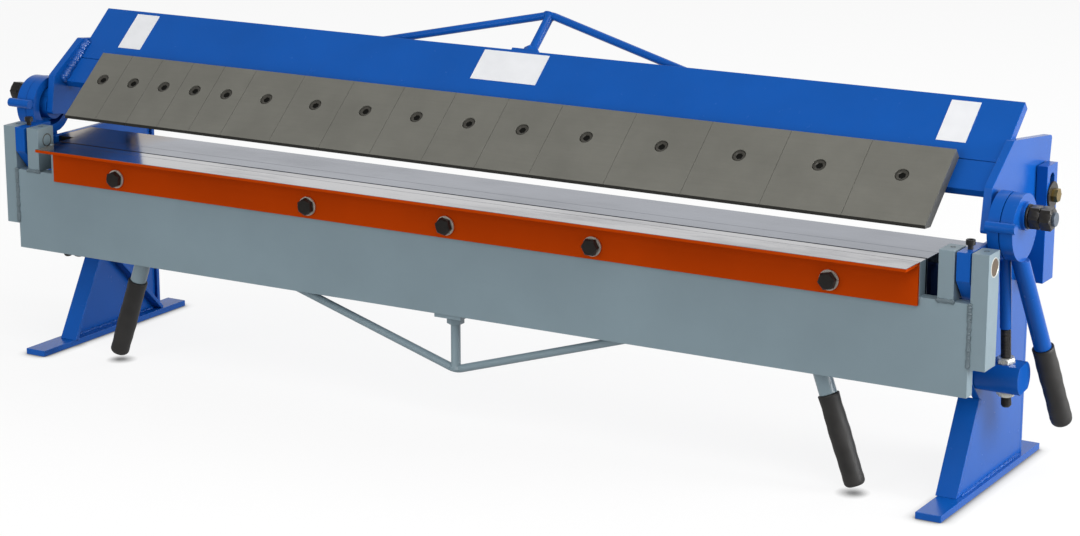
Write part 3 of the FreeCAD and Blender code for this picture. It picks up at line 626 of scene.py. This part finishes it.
def hexagonal(flats, height, chamfer=0.06):
    """Profile of a nut or head with its corners turned off at both ends."""
    bevel = flats * chamfer
    return [(flats * 0.49, 0), (flats, bevel, 6), (flats, height - bevel, 6),
            (flats * 0.485, height)]


def washer(bore, radius, thick, inset, rise):
    """Profile of a washer whose edges are broken by an inset across and a rise along."""
    return [(bore, 0), (radius - inset, 0), (radius, rise), (radius, thick - rise),
            (radius - inset, thick), (bore, thick)]


def socket_screw(shapes, start, axis, radius, height, turn):
    """A cylinder head with a hexagonal socket."""
    rim = radius * 0.1
    shapes.turned([(radius * 0.95, 0.05 * MM), (radius, rim * 0.6), (radius, height - rim),
                   (radius - rim, height), (radius * 0.72, height),
                   (radius, height - rim, 6), (radius, height - radius * 0.65, 6)],
                  start, axis, turn)


# Geometry node trees


class Repeater(Wiring):
    """A geometry node tree with named inputs, ending in Realize Instances and Set Material."""

    def __init__(self, name):
        super().__init__(bpy.data.node_groups.new(name, "GeometryNodeTree"))
        for way in ("OUTPUT", "INPUT"):
            self.tree.interface.new_socket("Geometry", in_out=way,
                                           socket_type="NodeSocketGeometry")
        self.entry = self.node("NodeGroupInput")

    def size(self, name, default, kind="NodeSocketFloat"):
        """A named input; the material's has no default."""
        socket = self.tree.interface.new_socket(name, in_out="INPUT", socket_type=kind)
        if default is not None:
            socket.default_value = default
        return self.entry.outputs[name]

    def finish(self, shape, pitch, material, smooth=True, **placing):
        """Set a shape at every pitch along the input's edges, turned to follow them."""
        path = self.node("GeometryNodeMeshToCurve", {"Mesh": self.entry.outputs["Geometry"]})
        steps = self.node("GeometryNodeResampleCurve", {"Curve": path.outputs[0],
                                                        "Length": pitch}, mode="LENGTH")
        tangent = self.node("GeometryNodeInputTangent")
        turn = self.node("FunctionNodeAlignEulerToVector", {"Vector": tangent.outputs[0]},
                         axis="Z")
        placed = self.node("GeometryNodeInstanceOnPoints", {
            "Points": steps.outputs[0], "Instance": shape, "Rotation": turn.outputs[0],
            **placing})
        for kind, sockets in (("GeometryNodeRealizeInstances", {}),
                              ("GeometryNodeSetShadeSmooth", {"Shade Smooth": smooth}),
                              ("GeometryNodeSetMaterial", {"Material": material})):
            placed = self.node(kind, {"Geometry": placed.outputs[0], **sockets})
        self.node("NodeGroupOutput", {"Geometry": placed.outputs[0]})
        return self.tree


@cache
def weld_tree():
    """Overlapping ripples along the edges of the input mesh."""
    build = Repeater("weld_bead")
    radius = build.size("Radius", 2.5 * MM)
    pitch = build.size("Pitch", 1.7 * MM)
    seed = build.size("Seed", 1, "NodeSocketInt")
    material = build.size("Material", None, "NodeSocketMaterial")
    ripple = build.node("GeometryNodeMeshIcoSphere", {"Radius": radius, "Subdivisions": 2})
    spread = build.node("FunctionNodeRandomValue", {"Min": (0.7, 0.7, 0.5),
                                                    "Max": (1.2, 1.2, 0.8), "Seed": seed},
                        data_type="FLOAT_VECTOR")
    return build.finish(ripple.outputs["Mesh"], pitch, material, Scale=spread.outputs[0])


@cache
def thread_tree():
    """Sharp rings along a line of points, as the crests of a screw thread."""
    build = Repeater("thread")
    root = build.size("Root radius", 5 * MM)
    crest = build.size("Crest radius", 6 * MM)
    pitch = build.size("Pitch", 1.75 * MM)
    material = build.size("Material", None, "NodeSocketMaterial")
    half = build.node("ShaderNodeMath", {0: pitch, 1: 0.5}, operation="MULTIPLY").outputs[0]
    rise, fall = (build.node("GeometryNodeMeshCone", {
        "Vertices": 28, "Radius Top": top, "Radius Bottom": bottom, "Depth": half},
        fill_type="NONE") for top, bottom in ((crest, root), (root, crest)))
    lift = build.node("ShaderNodeCombineXYZ", {"Z": half})
    moved = build.node("GeometryNodeTransform", {"Geometry": fall.outputs[0],
                                                 "Translation": lift.outputs[0]})
    ring = build.node("GeometryNodeJoinGeometry")
    for half_ring in (rise, moved):
        build.tree.links.new(half_ring.outputs[0], ring.inputs[0])
    return build.finish(ring.outputs[0], pitch, material, smooth=False)


def repeat_along(name, lines, tree, values, node):
    """What a tree sets along lines of points, seated as a node is."""
    vertices, edges = [], []
    for points in lines:
        start = len(vertices)
        vertices += points
        edges += [(start + index, start + index + 1) for index in range(len(points) - 1)]
    piece = mesh_piece(name, vertices, edges, [])
    modifier = piece.modifiers.new(tree.name, "NODES")
    modifier.node_group = tree
    for item in tree.interface.items_tree:
        if item.in_out == "INPUT" and item.name in values:
            modifier[item.identifier] = values[item.name]
    applied(piece)
    seat(piece, node)


def weld(name, lines, node, swell=1.0, finish=None):
    """Beads along lines of points, painted as the node that they hold."""
    detail = settings("brake_detail")
    repeat_along(name, lines, weld_tree(), {
        "Radius": detail.weld_radius * swell, "Pitch": detail.weld_pitch,
        "Seed": detail.weld_seed, "Material": finish_for(finish or SLOT_OF_NODE[node])}, node)


# Pieces


class BRAKE_OT_frame(bpy.types.Operator):
    """Dress the feet, side frames, hinge bearings and pivot blocks"""

    bl_idname = "brake.frame"
    bl_label = "Side frames"

    def execute(self, context):
        soften_all(both_sides("foot", "side_plate", "side_stiffeners", "hinge_bearing",
                              "pivot_block"))
        # The bed's front wall is painted near black blue as shade.
        soften("bed_front_wall", finish="shaded_blue")
        soften("bed_floor")
        for side in SIDES:
            weld_foot(side)
        return {"FINISHED"}


def weld_foot(side):
    """Beads between a foot and what stands on it."""
    low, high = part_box(side + "_side_plate")
    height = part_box(side + "_foot")[1].z
    bottom = [corner.y for corner in solids_of(side + "_side_plate")[0]
              if corner.z < low.z + MM]
    front, rear = min(bottom), max(bottom)
    inset = 8 * MM
    lines = [[Vector((reach, front + inset, height)), Vector((reach, rear - inset, height))]
             for reach in (low.x, high.x)]
    margin = 2 * MM
    low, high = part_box(side + "_side_stiffeners")
    lines.append([Vector((reach, front, height)) for reach in (low.x + margin, high.x - margin)])
    weld(side + "_foot_welds", lines, side + "_foot")


class BRAKE_OT_bed(bpy.types.Operator):
    """Dress the polished nose bar and top plate of the bed"""

    bl_idname = "brake.bed"
    bl_label = "Bed"

    def execute(self, context):
        soften_all(("bed_nose_bar", "bed_top_plate"), 0.4 * MM)
        return {"FINISHED"}


class BRAKE_OT_apron(bpy.types.Operator):
    """Dress the apron plate, its ears and the bending angle"""

    bl_idname = "brake.apron"
    bl_label = "Apron"

    def execute(self, context):
        soften("apron_plate", 0.4 * MM, finish="apron_plate")
        soften_all(("inner_ears", "outer_ears"), 1.0 * MM)
        soften("bending_angle", 0.5 * MM)
        weld_ears()
        return {"FINISHED"}


def weld_ears():
    """Rough beads where the ears meet the apron's front, in grey enamel darkened as painted shade.
    """
    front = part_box("apron_plate")[0].y
    lines = []
    for inner, outer in zip(solids_of("inner_ears"), solids_of("outer_ears")):
        seam = min((corner.x for corner in outer), key=abs)
        foot = min(corner.z for corner in inner)
        low = min(corner.z for corner in outer) + 3 * MM
        lines.append([Vector((seam, front, height)) for height in (low, foot)])
        reaches = [corner.x for corner in inner]
        lines.append([Vector((reach, front, foot)) for reach in (min(reaches), max(reaches))])
    weld("ear_welds", lines, "inner_ears", 1.15, "weld_grey")


class BRAKE_OT_trusses(bpy.types.Operator):
    """Dress the stiffening bars of the apron and the beam"""

    bl_idname = "brake.trusses"
    bl_label = "Trusses"

    def execute(self, context):
        soften_all(("apron_truss_nut", "beam_truss_nut"), 0.5 * MM)
        for node in ("apron_truss", "beam_truss"):
            bend_truss(node)
        return {"FINISHED"}


def bend_truss(node):
    """A bar bent over its post, standing for a truss."""
    left, post, right = discs(node)
    run = -right[1]
    apex = right[0] + run * (right[0].x / -run.x)
    bend = settings("brake_detail").truss_bend
    slope = math.acos(min(1.0, abs(run.x)))
    inward = (post[0] - apex).normalized()
    centre = apex + inward * (bend / math.cos(slope))
    top = 6
    turns = [slope * (step / top - 1) for step in range(2 * top + 1)]
    arc = [centre + (Vector((1, 0, 0)) * math.sin(turn) - inward * math.cos(turn)) * bend
           for turn in turns]
    shapes = Shapes()
    shapes.swept([left[0], left[0].lerp(arc[0], 0.5)] + arc
                 + [right[0].lerp(arc[-1], 0.5), right[0]], right[2])
    neck = post[2]
    shapes.turned([(neck * 1.6, 0), (neck * 1.25, neck * 0.4), (neck, neck * 0.9),
                   (neck, (post[0] - arc[top]).length)], arc[top], inward, steps=24)
    shapes.seat("bent_" + node, node, replace=True)


class BRAKE_OT_handles(bpy.types.Operator):
    """Dress the apron handles with their grips"""

    bl_idname = "brake.handles"
    bl_label = "Apron handles"

    def execute(self, context):
        soften("apron_handles")
        mould_grips("apron_grips")
        return {"FINISHED"}


def mould_grips(node):
    """Dipped sleeves with a soft mouth, a round end and a slightly uneven wall."""
    ends = discs(node)
    shapes = Shapes()
    for mouth in [end for end in ends if end[1].z > 0]:
        foot = min([end for end in ends if end[1].z < 0],
                   key=lambda end: (end[0] - mouth[0]).length)
        axis = foot[0] - mouth[0]
        radius = mouth[2]
        profile = [(radius * 0.86, 0.2 * MM), (radius * 0.95, 0), (radius, 0.8 * MM)]
        wall_rings, end_rings = 24, 6
        for step in range(1, wall_rings):
            share = step / wall_rings
            sag = 0.025 * math.sin(share * 9.0 + foot[0].x * 7) + 0.015 * math.sin(share * 33.0)
            profile.append((radius * (0.985 + sag), axis.length * share * 0.95))
        for step in range(1, end_rings + 1):
            turn = math.pi / 2 * step / end_rings
            profile.append((radius * (0.55 + 0.43 * math.cos(turn)),
                            axis.length - radius * 0.5 * (1 - math.sin(turn))))
        shapes.turned(profile, mouth[0], axis)
    shapes.seat("moulded_" + node, node, replace=True, sharp=math.radians(60))


class BRAKE_OT_beam(bpy.types.Operator):
    """Dress the plates of the clamping beam"""

    bl_idname = "brake.beam"
    bl_label = "Clamping beam"

    def execute(self, context):
        soften_all(("upper_plate", "lower_bar", "backing_bar"))
        soften_all(both_sides("end_plate"))
        lay_labels()
        weld_plates()
        return {"FINISHED"}


def on_beam(reach, rise, out):
    """A point at the upper plate's front: along the beam, up its slope and out from it."""
    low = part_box("upper_plate")[0]
    foot = Vector((reach, low.y, low.z + BEAM_PLATE * BEAM_UP.y))
    return foot + BEAM_OUT * out + BEAM_UP * rise


def weld_plates():
    """The bead between the beam's plates and its left end plate."""
    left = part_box("upper_plate")[0].x
    lower_end, upper_end = -0.041, 0.024
    bead = [on_beam(left, rise, 1.5 * MM) for rise in (lower_end, upper_end)]
    weld("beam_welds", [bead], "upper_plate", 2.5, "weld_blue")


def lay_labels():
    """Blank cards on the front of the upper plate."""
    labels = settings("brake_labels")
    thickness = 0.35 * MM
    shapes = Shapes()
    for left, right, bottom, top in (labels.outer_left, labels.middle, labels.outer_right):
        shapes.slab(on_beam(left, bottom + MM, 0), Vector((right - left, 0, 0)),
                    BEAM_UP * (top - bottom), BEAM_OUT * thickness)
    shapes.seat("blank_labels", "upper_plate", finish="label")


class BRAKE_OT_fingers(bpy.types.Operator):
    """Dress the removable fingers and their screws"""

    bl_idname = "brake.fingers"
    bl_label = "Fingers"

    def execute(self, context):
        rows = ("fingers_narrow", "fingers_middle", "fingers_wide")
        for node in rows:
            soften(node, 0.15 * MM, shaping=blunt_noses)
        screws, bore_shade = Shapes(), Shapes()
        radius = settings("brake_detail").screw_radius
        height = radius * 1.19
        for node in rows:
            for index, (floor, outward, bore) in enumerate(discs(node)):
                turn = index * 0.7
                socket_screw(screws, floor, outward, radius, height, turn)
                # Near black rings in the counterbores and near black hexagons in the sockets:
                # painted shade in these recesses.
                core, wall, flats = radius * 1.01, bore * 0.99, radius * 0.99
                bore_shade.turned([(core, height * 0.5), (wall, height * 0.5),
                                (wall, height * 0.88), (core, height * 0.82)], floor, outward)
                bore_shade.turned([(flats, height - radius * depth, 6) for depth in (0.6, 0.2)],
                               floor, outward, turn)
        screws.seat("finger_screws", "fingers_wide", "black_bolts", "screw_oxide")
        bore_shade.seat("shade_in_bores", "fingers_wide", "black_bolts", "old_oil")
        return {"FINISHED"}


def blunt_noses(mesh):
    """Cut an upright land across the fingers' sharp lower edges."""
    whole = list(mesh.verts) + list(mesh.edges) + list(mesh.faces)
    cut = bmesh.ops.bisect_plane(mesh, geom=whole, plane_co=(0, nose_face(), 0),
                                 plane_no=(0, -1, 0), clear_outer=True)
    rims = [part for part in cut["geom_cut"] if isinstance(part, bmesh.types.BMEdge)]
    bmesh.ops.holes_fill(mesh, edges=rims, sides=0)


def nose_face():
    """Depth of the upright land at the fingers' lower edges."""
    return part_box("fingers_wide")[0].y + settings("brake_detail").nose_land


class BRAKE_OT_levers(bpy.types.Operator):
    """Dress the clamping levers with their cams and grips"""

    bl_idname = "brake.levers"
    bl_label = "Clamping levers"

    def execute(self, context):
        soften_all(both_sides("clamp_lever"))
        for node in both_sides("lever_grip"):
            mould_grips(node)
        return {"FINISHED"}


class BRAKE_OT_links(bpy.types.Operator):
    """Dress the links with their trunnions and cut their threads"""

    bl_idname = "brake.links"
    bl_label = "Links"

    def execute(self, context):
        soften_all(both_sides("strap_link", "trunnion"))
        for side in SIDES:
            thread_link(side + "_link_stud")
            turn_nuts(side + "_link_nuts", side + "_link_stud")
        return {"FINISHED"}


def from_below(node):
    """The round faces of an upright node, from below."""
    return sorted(discs(node), key=lambda disc: disc[0].z)


def thread_link(node):
    """A threaded bar with turned ends, standing for a link's stud."""
    detail = settings("brake_detail")
    bottom, top = from_below(node)
    axis = top[0] - bottom[0]
    crest = bottom[2]
    root = crest - detail.thread_pitch * 0.5
    core = Shapes()
    core.turned([(root * 0.85, 0), (root, 0.8 * MM), (root, axis.length)], bottom[0], axis)
    core.seat("core_of_" + node, node, replace=True)
    ends = [bottom[0] + axis.normalized() * 1.5 * MM, top[0]]
    repeat_along("thread_of_" + node, [ends], thread_tree(), {
        "Root radius": root, "Crest radius": crest, "Pitch": detail.thread_pitch,
        "Material": finish_for(SLOT_OF_NODE[node])}, node)


def turn_nuts(node, stud):
    """Chamfered nuts on a link's stud, standing for the plain ones."""
    low, high = from_below(stud)
    axis = (high[0] - low[0]).normalized()
    flats = settings("brake_detail").bolt_flats
    shapes = Shapes()
    for index, corners in enumerate(solids_of(node)):
        heights = [(corner - low[0]).dot(axis) for corner in corners]
        shapes.turned(hexagonal(flats, max(heights) - min(heights)),
                      low[0] + axis * min(heights), axis, 0.3 + index * 0.4)
    shapes.seat("turned_" + node, node, replace=True)


class BRAKE_OT_fasteners(bpy.types.Operator):
    """Dress the bolts, nuts, washers, pins and screws"""

    bl_idname = "brake.fasteners"
    bl_label = "Fasteners"

    def execute(self, context):
        soften_all(("angle_washers", "pivot_bolts"), 0.5 * MM)
        soften("clamp_studs", 0.8 * MM, finish="stud_steel")
        soften("hinge_pins", 0.4 * MM, finish="pin_steel")
        set_angle_bolts()
        set_clamp_nuts()
        set_pivot_washers()
        set_hinge_screws()
        return {"FINISHED"}


def set_angle_bolts():
    """Bolt heads with a collar, each turned further on, standing for the plain ones."""
    flats = settings("brake_detail").bolt_flats
    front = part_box("angle_bolts")[0].y
    shapes = Shapes()
    for index, (place, outward, _) in enumerate(discs("angle_washers")):
        if outward.y < 0:
            height = place.y - front
            shapes.turned([(flats * 0.47, 0), (flats * 0.47, height * 0.06),
                           (flats, height * 0.1, 6), (flats, height * 0.8, 6),
                           (flats * 0.465, height * 0.97), (flats * 0.44, height)],
                          place, outward, 0.4 + index * 0.63)
    shapes.seat("angle_bolt_heads", "angle_bolts", replace=True, sharp=math.radians(24))


def set_clamp_nuts():
    """Pairs of chamfered nuts with washers under them, standing for the plain nuts."""
    flats = settings("brake_detail").nut_flats
    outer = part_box("clamp_nuts")[1].x
    inner = min(abs(corner.x) for group in solids_of("clamp_nuts") for corner in group)
    height = (outer - inner) / 2
    gap = 0.1 * MM
    thick = 2.4 * MM
    radius = flats * 0.58
    shapes = Shapes()
    for place, outward, stud in discs("clamp_studs"):
        if outward.x * place.x < 0:
            continue
        for index in range(2):
            start = beside(outward.x * (inner + index * height), place)
            shapes.turned(hexagonal(flats, height - gap, 0.04), start, outward,
                          0.05 + index * 0.1)
        start = beside(outward.x * (inner - thick - gap / 2), place)
        shapes.turned(washer(stud * 1.1, radius, thick, radius * 0.03, thick * 0.15), start,
                      outward)
    shapes.seat("clamp_nut_pairs", "clamp_nuts", replace=True)


def set_pivot_washers():
    """Black washers between the slotted blocks and the heads of the pivot bolts."""
    bore, radius, thick, edge = 5.6 * MM, 15.6 * MM, 2.4 * MM, 0.4 * MM
    gap = 0.05 * MM
    bolts = solids_of("pivot_bolts")
    shapes = Shapes()
    for side, corners in zip(SIDES, (bolts[0], bolts[-1])):
        centre = middle(corners)
        reach = outer_reach(side + "_pivot_block") + gap
        outward = Vector((math.copysign(1, centre.x), 0, 0))
        shapes.turned(washer(bore, radius, thick, edge, edge),
                      beside(outward.x * reach, centre), outward)
    shapes.seat("pivot_washers", "pivot_bolts", "black_bolts")


def set_hinge_screws():
    """Screws in the tops of the bearings and ears, and what closes the ends of the pins."""
    neck, neck_height, inboard = 3 * MM, 5 * MM, 7.75 * MM
    head, head_height = 5.4 * MM, 6 * MM
    grub, grub_height, sunk = 3.2 * MM, 3 * MM, 2.8 * MM
    screws, grubs, rims, caps, groove_shades = (Shapes() for _ in range(5))
    inner_end = min(abs(corner.x) for corner in solids_of("hinge_pins")[-1])
    for place, outward, radius in discs("hinge_pins"):
        side = math.copysign(1, place.x)
        if outward.x * side < 0:
            continue
        bearing = ("right" if side > 0 else "left") + "_hinge_bearing"
        reach = outer_reach(bearing) - inboard
        top = Vector((side * reach, place.y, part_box(bearing)[1].z))
        screws.turned([(neck, 0), (neck, neck_height)], top, UP)
        socket_screw(screws, top + UP * neck_height, UP, head, head_height, 0.2)
        for node in ("inner_ears", "outer_ears"):
            ear = solids_of(node)[0 if side < 0 else -1]
            top = Vector((middle(ear).x, place.y, max(corner.z for corner in ear)))
            socket_screw(grubs, top - UP * sunk, UP, grub, grub_height, 0.5)
        start = beside(side * inner_end, place)
        caps.turned([(radius * 1.13, 0), (radius * 1.08, 0.45 * MM), (radius, 0.2 * MM),
                     (radius * 0.9, 0.3 * MM)], start, -outward)
        # A thin dark ring on each cap is painted shade, standing for the groove round the pin's
        # end.
        groove_shades.turned([(radius * 0.72, 0.3 * MM), (radius * 0.74, 0.5 * MM),
                      (radius * 0.86, 0.5 * MM), (radius * 0.88, 0.3 * MM)], start, -outward,
                     closed=False)
        rims.turned([(radius, 0), (radius * 1.04, 0.25 * MM), (radius * 1.14, 0)],
                    place - outward * 0.02 * MM, outward, closed=False)
    screws.seat("bearing_screws", "right_hinge_bearing", "black_bolts")
    grubs.seat("ear_screws", "inner_ears", "black_bolts")
    rims.seat("pin_rims", "inner_ears", "zinc")
    caps.seat("pin_caps", "inner_ears")
    groove_shades.seat("pin_groove_shades", "inner_ears", "black_bolts", "screw_oxide")


# Stage


class BRAKE_OT_stage(bpy.types.Operator):
    """Lay the floor, hang the lamps and set up the camera"""

    bl_idname = "brake.stage"
    bl_label = "Stage"

    def execute(self, context):
        make_floor()
        for name, values in LAMPS.items():
            add_lamp(name, *values)
        make_world()
        make_camera()
        context.scene.view_settings.view_transform = "Standard"
        return {"FINISHED"}


def make_floor():
    """A floor that is pale with a contact shade, and darker to the front in mirrors."""
    corners = [(x * FLOOR_HALF, y * FLOOR_HALF, 0) for x, y in ((-1, -1), (1, -1), (1, 1), (-1, 1))]
    floor = mesh_piece("floor", corners, [], [(0, 1, 2, 3)])
    stage = settings("brake_stage")
    finish = Finish("pale_floor")
    rays = finish.node("ShaderNodeLightPath").outputs
    near = finish.node("ShaderNodeAmbientOcclusion", {"Distance": SHADE_REACH}).outputs["AO"]
    glow = finish.node("ShaderNodeEmission", {
        "Color": GLOW_TONE, "Strength": finish.ramp(near, *SHADE_RAMP)})
    matte = finish.node("ShaderNodeBsdfDiffuse", {
        "Color": finish.mix(rays["Is Camera Ray"], stage.bounce, stage.floor)})
    mirrored = finish.node("ShaderNodeEmission", {
        "Color": WHITE, "Strength": finish.ramp(finish.axis("Y"), *MIRRORED_FLOOR)})
    share = finish.maths("MULTIPLY", rays["Is Camera Ray"], GLOW_SHARE)
    seen = finish.node("ShaderNodeMixShader", {0: share, 1: matte.outputs[0],
                                               2: glow.outputs[0]})
    floor.data.materials.append(finish.show(finish.node("ShaderNodeMixShader", {
        0: rays["Is Glossy Ray"], 1: seen.outputs[0], 2: mirrored.outputs[0]})))


def add_lamp(name, place, target, size, power, mirrored):
    """A round lamp aimed at a point."""
    lamp = bpy.data.lights.new(name, "AREA")
    lamp.shape = "DISK"
    lamp.size = size
    lamp.energy = power
    holder = linked(name, lamp)
    holder.location = place
    holder.rotation_euler = (Vector(target) - Vector(place)).to_track_quat("-Z", "Y").to_euler()
    holder.visible_glossy = mirrored


def make_world():
    """Even light all round, which mirrors see as dark in front and bright behind."""
    world = bpy.data.worlds.new("studio")
    world.use_nodes = True
    wiring = Wiring(world.node_tree)
    way = wiring.node("ShaderNodeTexCoord").outputs["Generated"]
    depth = wiring.node("ShaderNodeSeparateXYZ", {0: way}).outputs["Y"]
    glossy = wiring.node("ShaderNodeLightPath").outputs["Is Glossy Ray"]
    blend = wiring.node("ShaderNodeMix", {"Factor": glossy, "A": SKY_LIGHT,
                                          "B": wiring.ramp(depth, *MIRRORED_SKY)})
    sky = wiring.tree.nodes["Background"]
    sky.inputs["Color"].default_value = WHITE
    wiring.tree.links.new(blend.outputs["Result"], sky.inputs["Strength"])
    bpy.context.scene.world = world


def make_camera():
    stage = settings("brake_stage")
    camera = bpy.data.cameras.new("camera")
    camera.lens = stage.lens
    camera.sensor_fit = "HORIZONTAL"
    camera.sensor_width = 36.0
    camera.clip_end = 60.0
    holder = linked("camera", camera)
    holder.location = stage.eye
    holder.rotation_euler = (math.pi / 2 - stage.drop, 0, stage.azimuth)
    bpy.context.scene.camera = holder


class BRAKE_PT_panel(bpy.types.Panel):
    """Lists the settings and the pieces of the brake in the sidebar"""

    bl_idname = "BRAKE_PT_panel"
    bl_label = "Box and pan brake"
    bl_space_type = "VIEW_3D"
    bl_region_type = "UI"
    bl_category = "Brake"

    def draw(self, context):
        for group in GROUPS:
            owner = getattr(context.scene, group)
            for name in owner.bl_rna.properties.keys():
                if name not in ("rna_type", "name"):
                    self.layout.prop(owner, name)
        for operator in PIECES:
            self.layout.operator(operator.bl_idname)


GROUPS = {"brake_paint": PaintSettings, "brake_detail": DetailSettings,
          "brake_labels": LabelSettings, "brake_stage": StageSettings}
PIECES = (BRAKE_OT_stage, BRAKE_OT_frame, BRAKE_OT_bed, BRAKE_OT_apron, BRAKE_OT_trusses,
          BRAKE_OT_handles, BRAKE_OT_beam, BRAKE_OT_fingers, BRAKE_OT_levers, BRAKE_OT_links,
          BRAKE_OT_fasteners)


def register():
    for name, group in GROUPS.items():
        bpy.utils.register_class(group)
        setattr(bpy.types.Scene, name, PointerProperty(type=group))
    for listed in (*PIECES, BRAKE_PT_panel):
        bpy.utils.register_class(listed)


def unregister():
    for listed in (BRAKE_PT_panel, *reversed(PIECES)):
        bpy.utils.unregister_class(listed)
    for name, group in GROUPS.items():
        delattr(bpy.types.Scene, name)
        bpy.utils.unregister_class(group)


def main():
    register()
    for operator in PIECES:
        result = getattr(bpy.ops.brake, operator.bl_idname.split(".")[1])()
        if result != {"FINISHED"}:
            raise RuntimeError(operator.bl_idname + " did not finish")


if __name__ == "__main__":
    main()
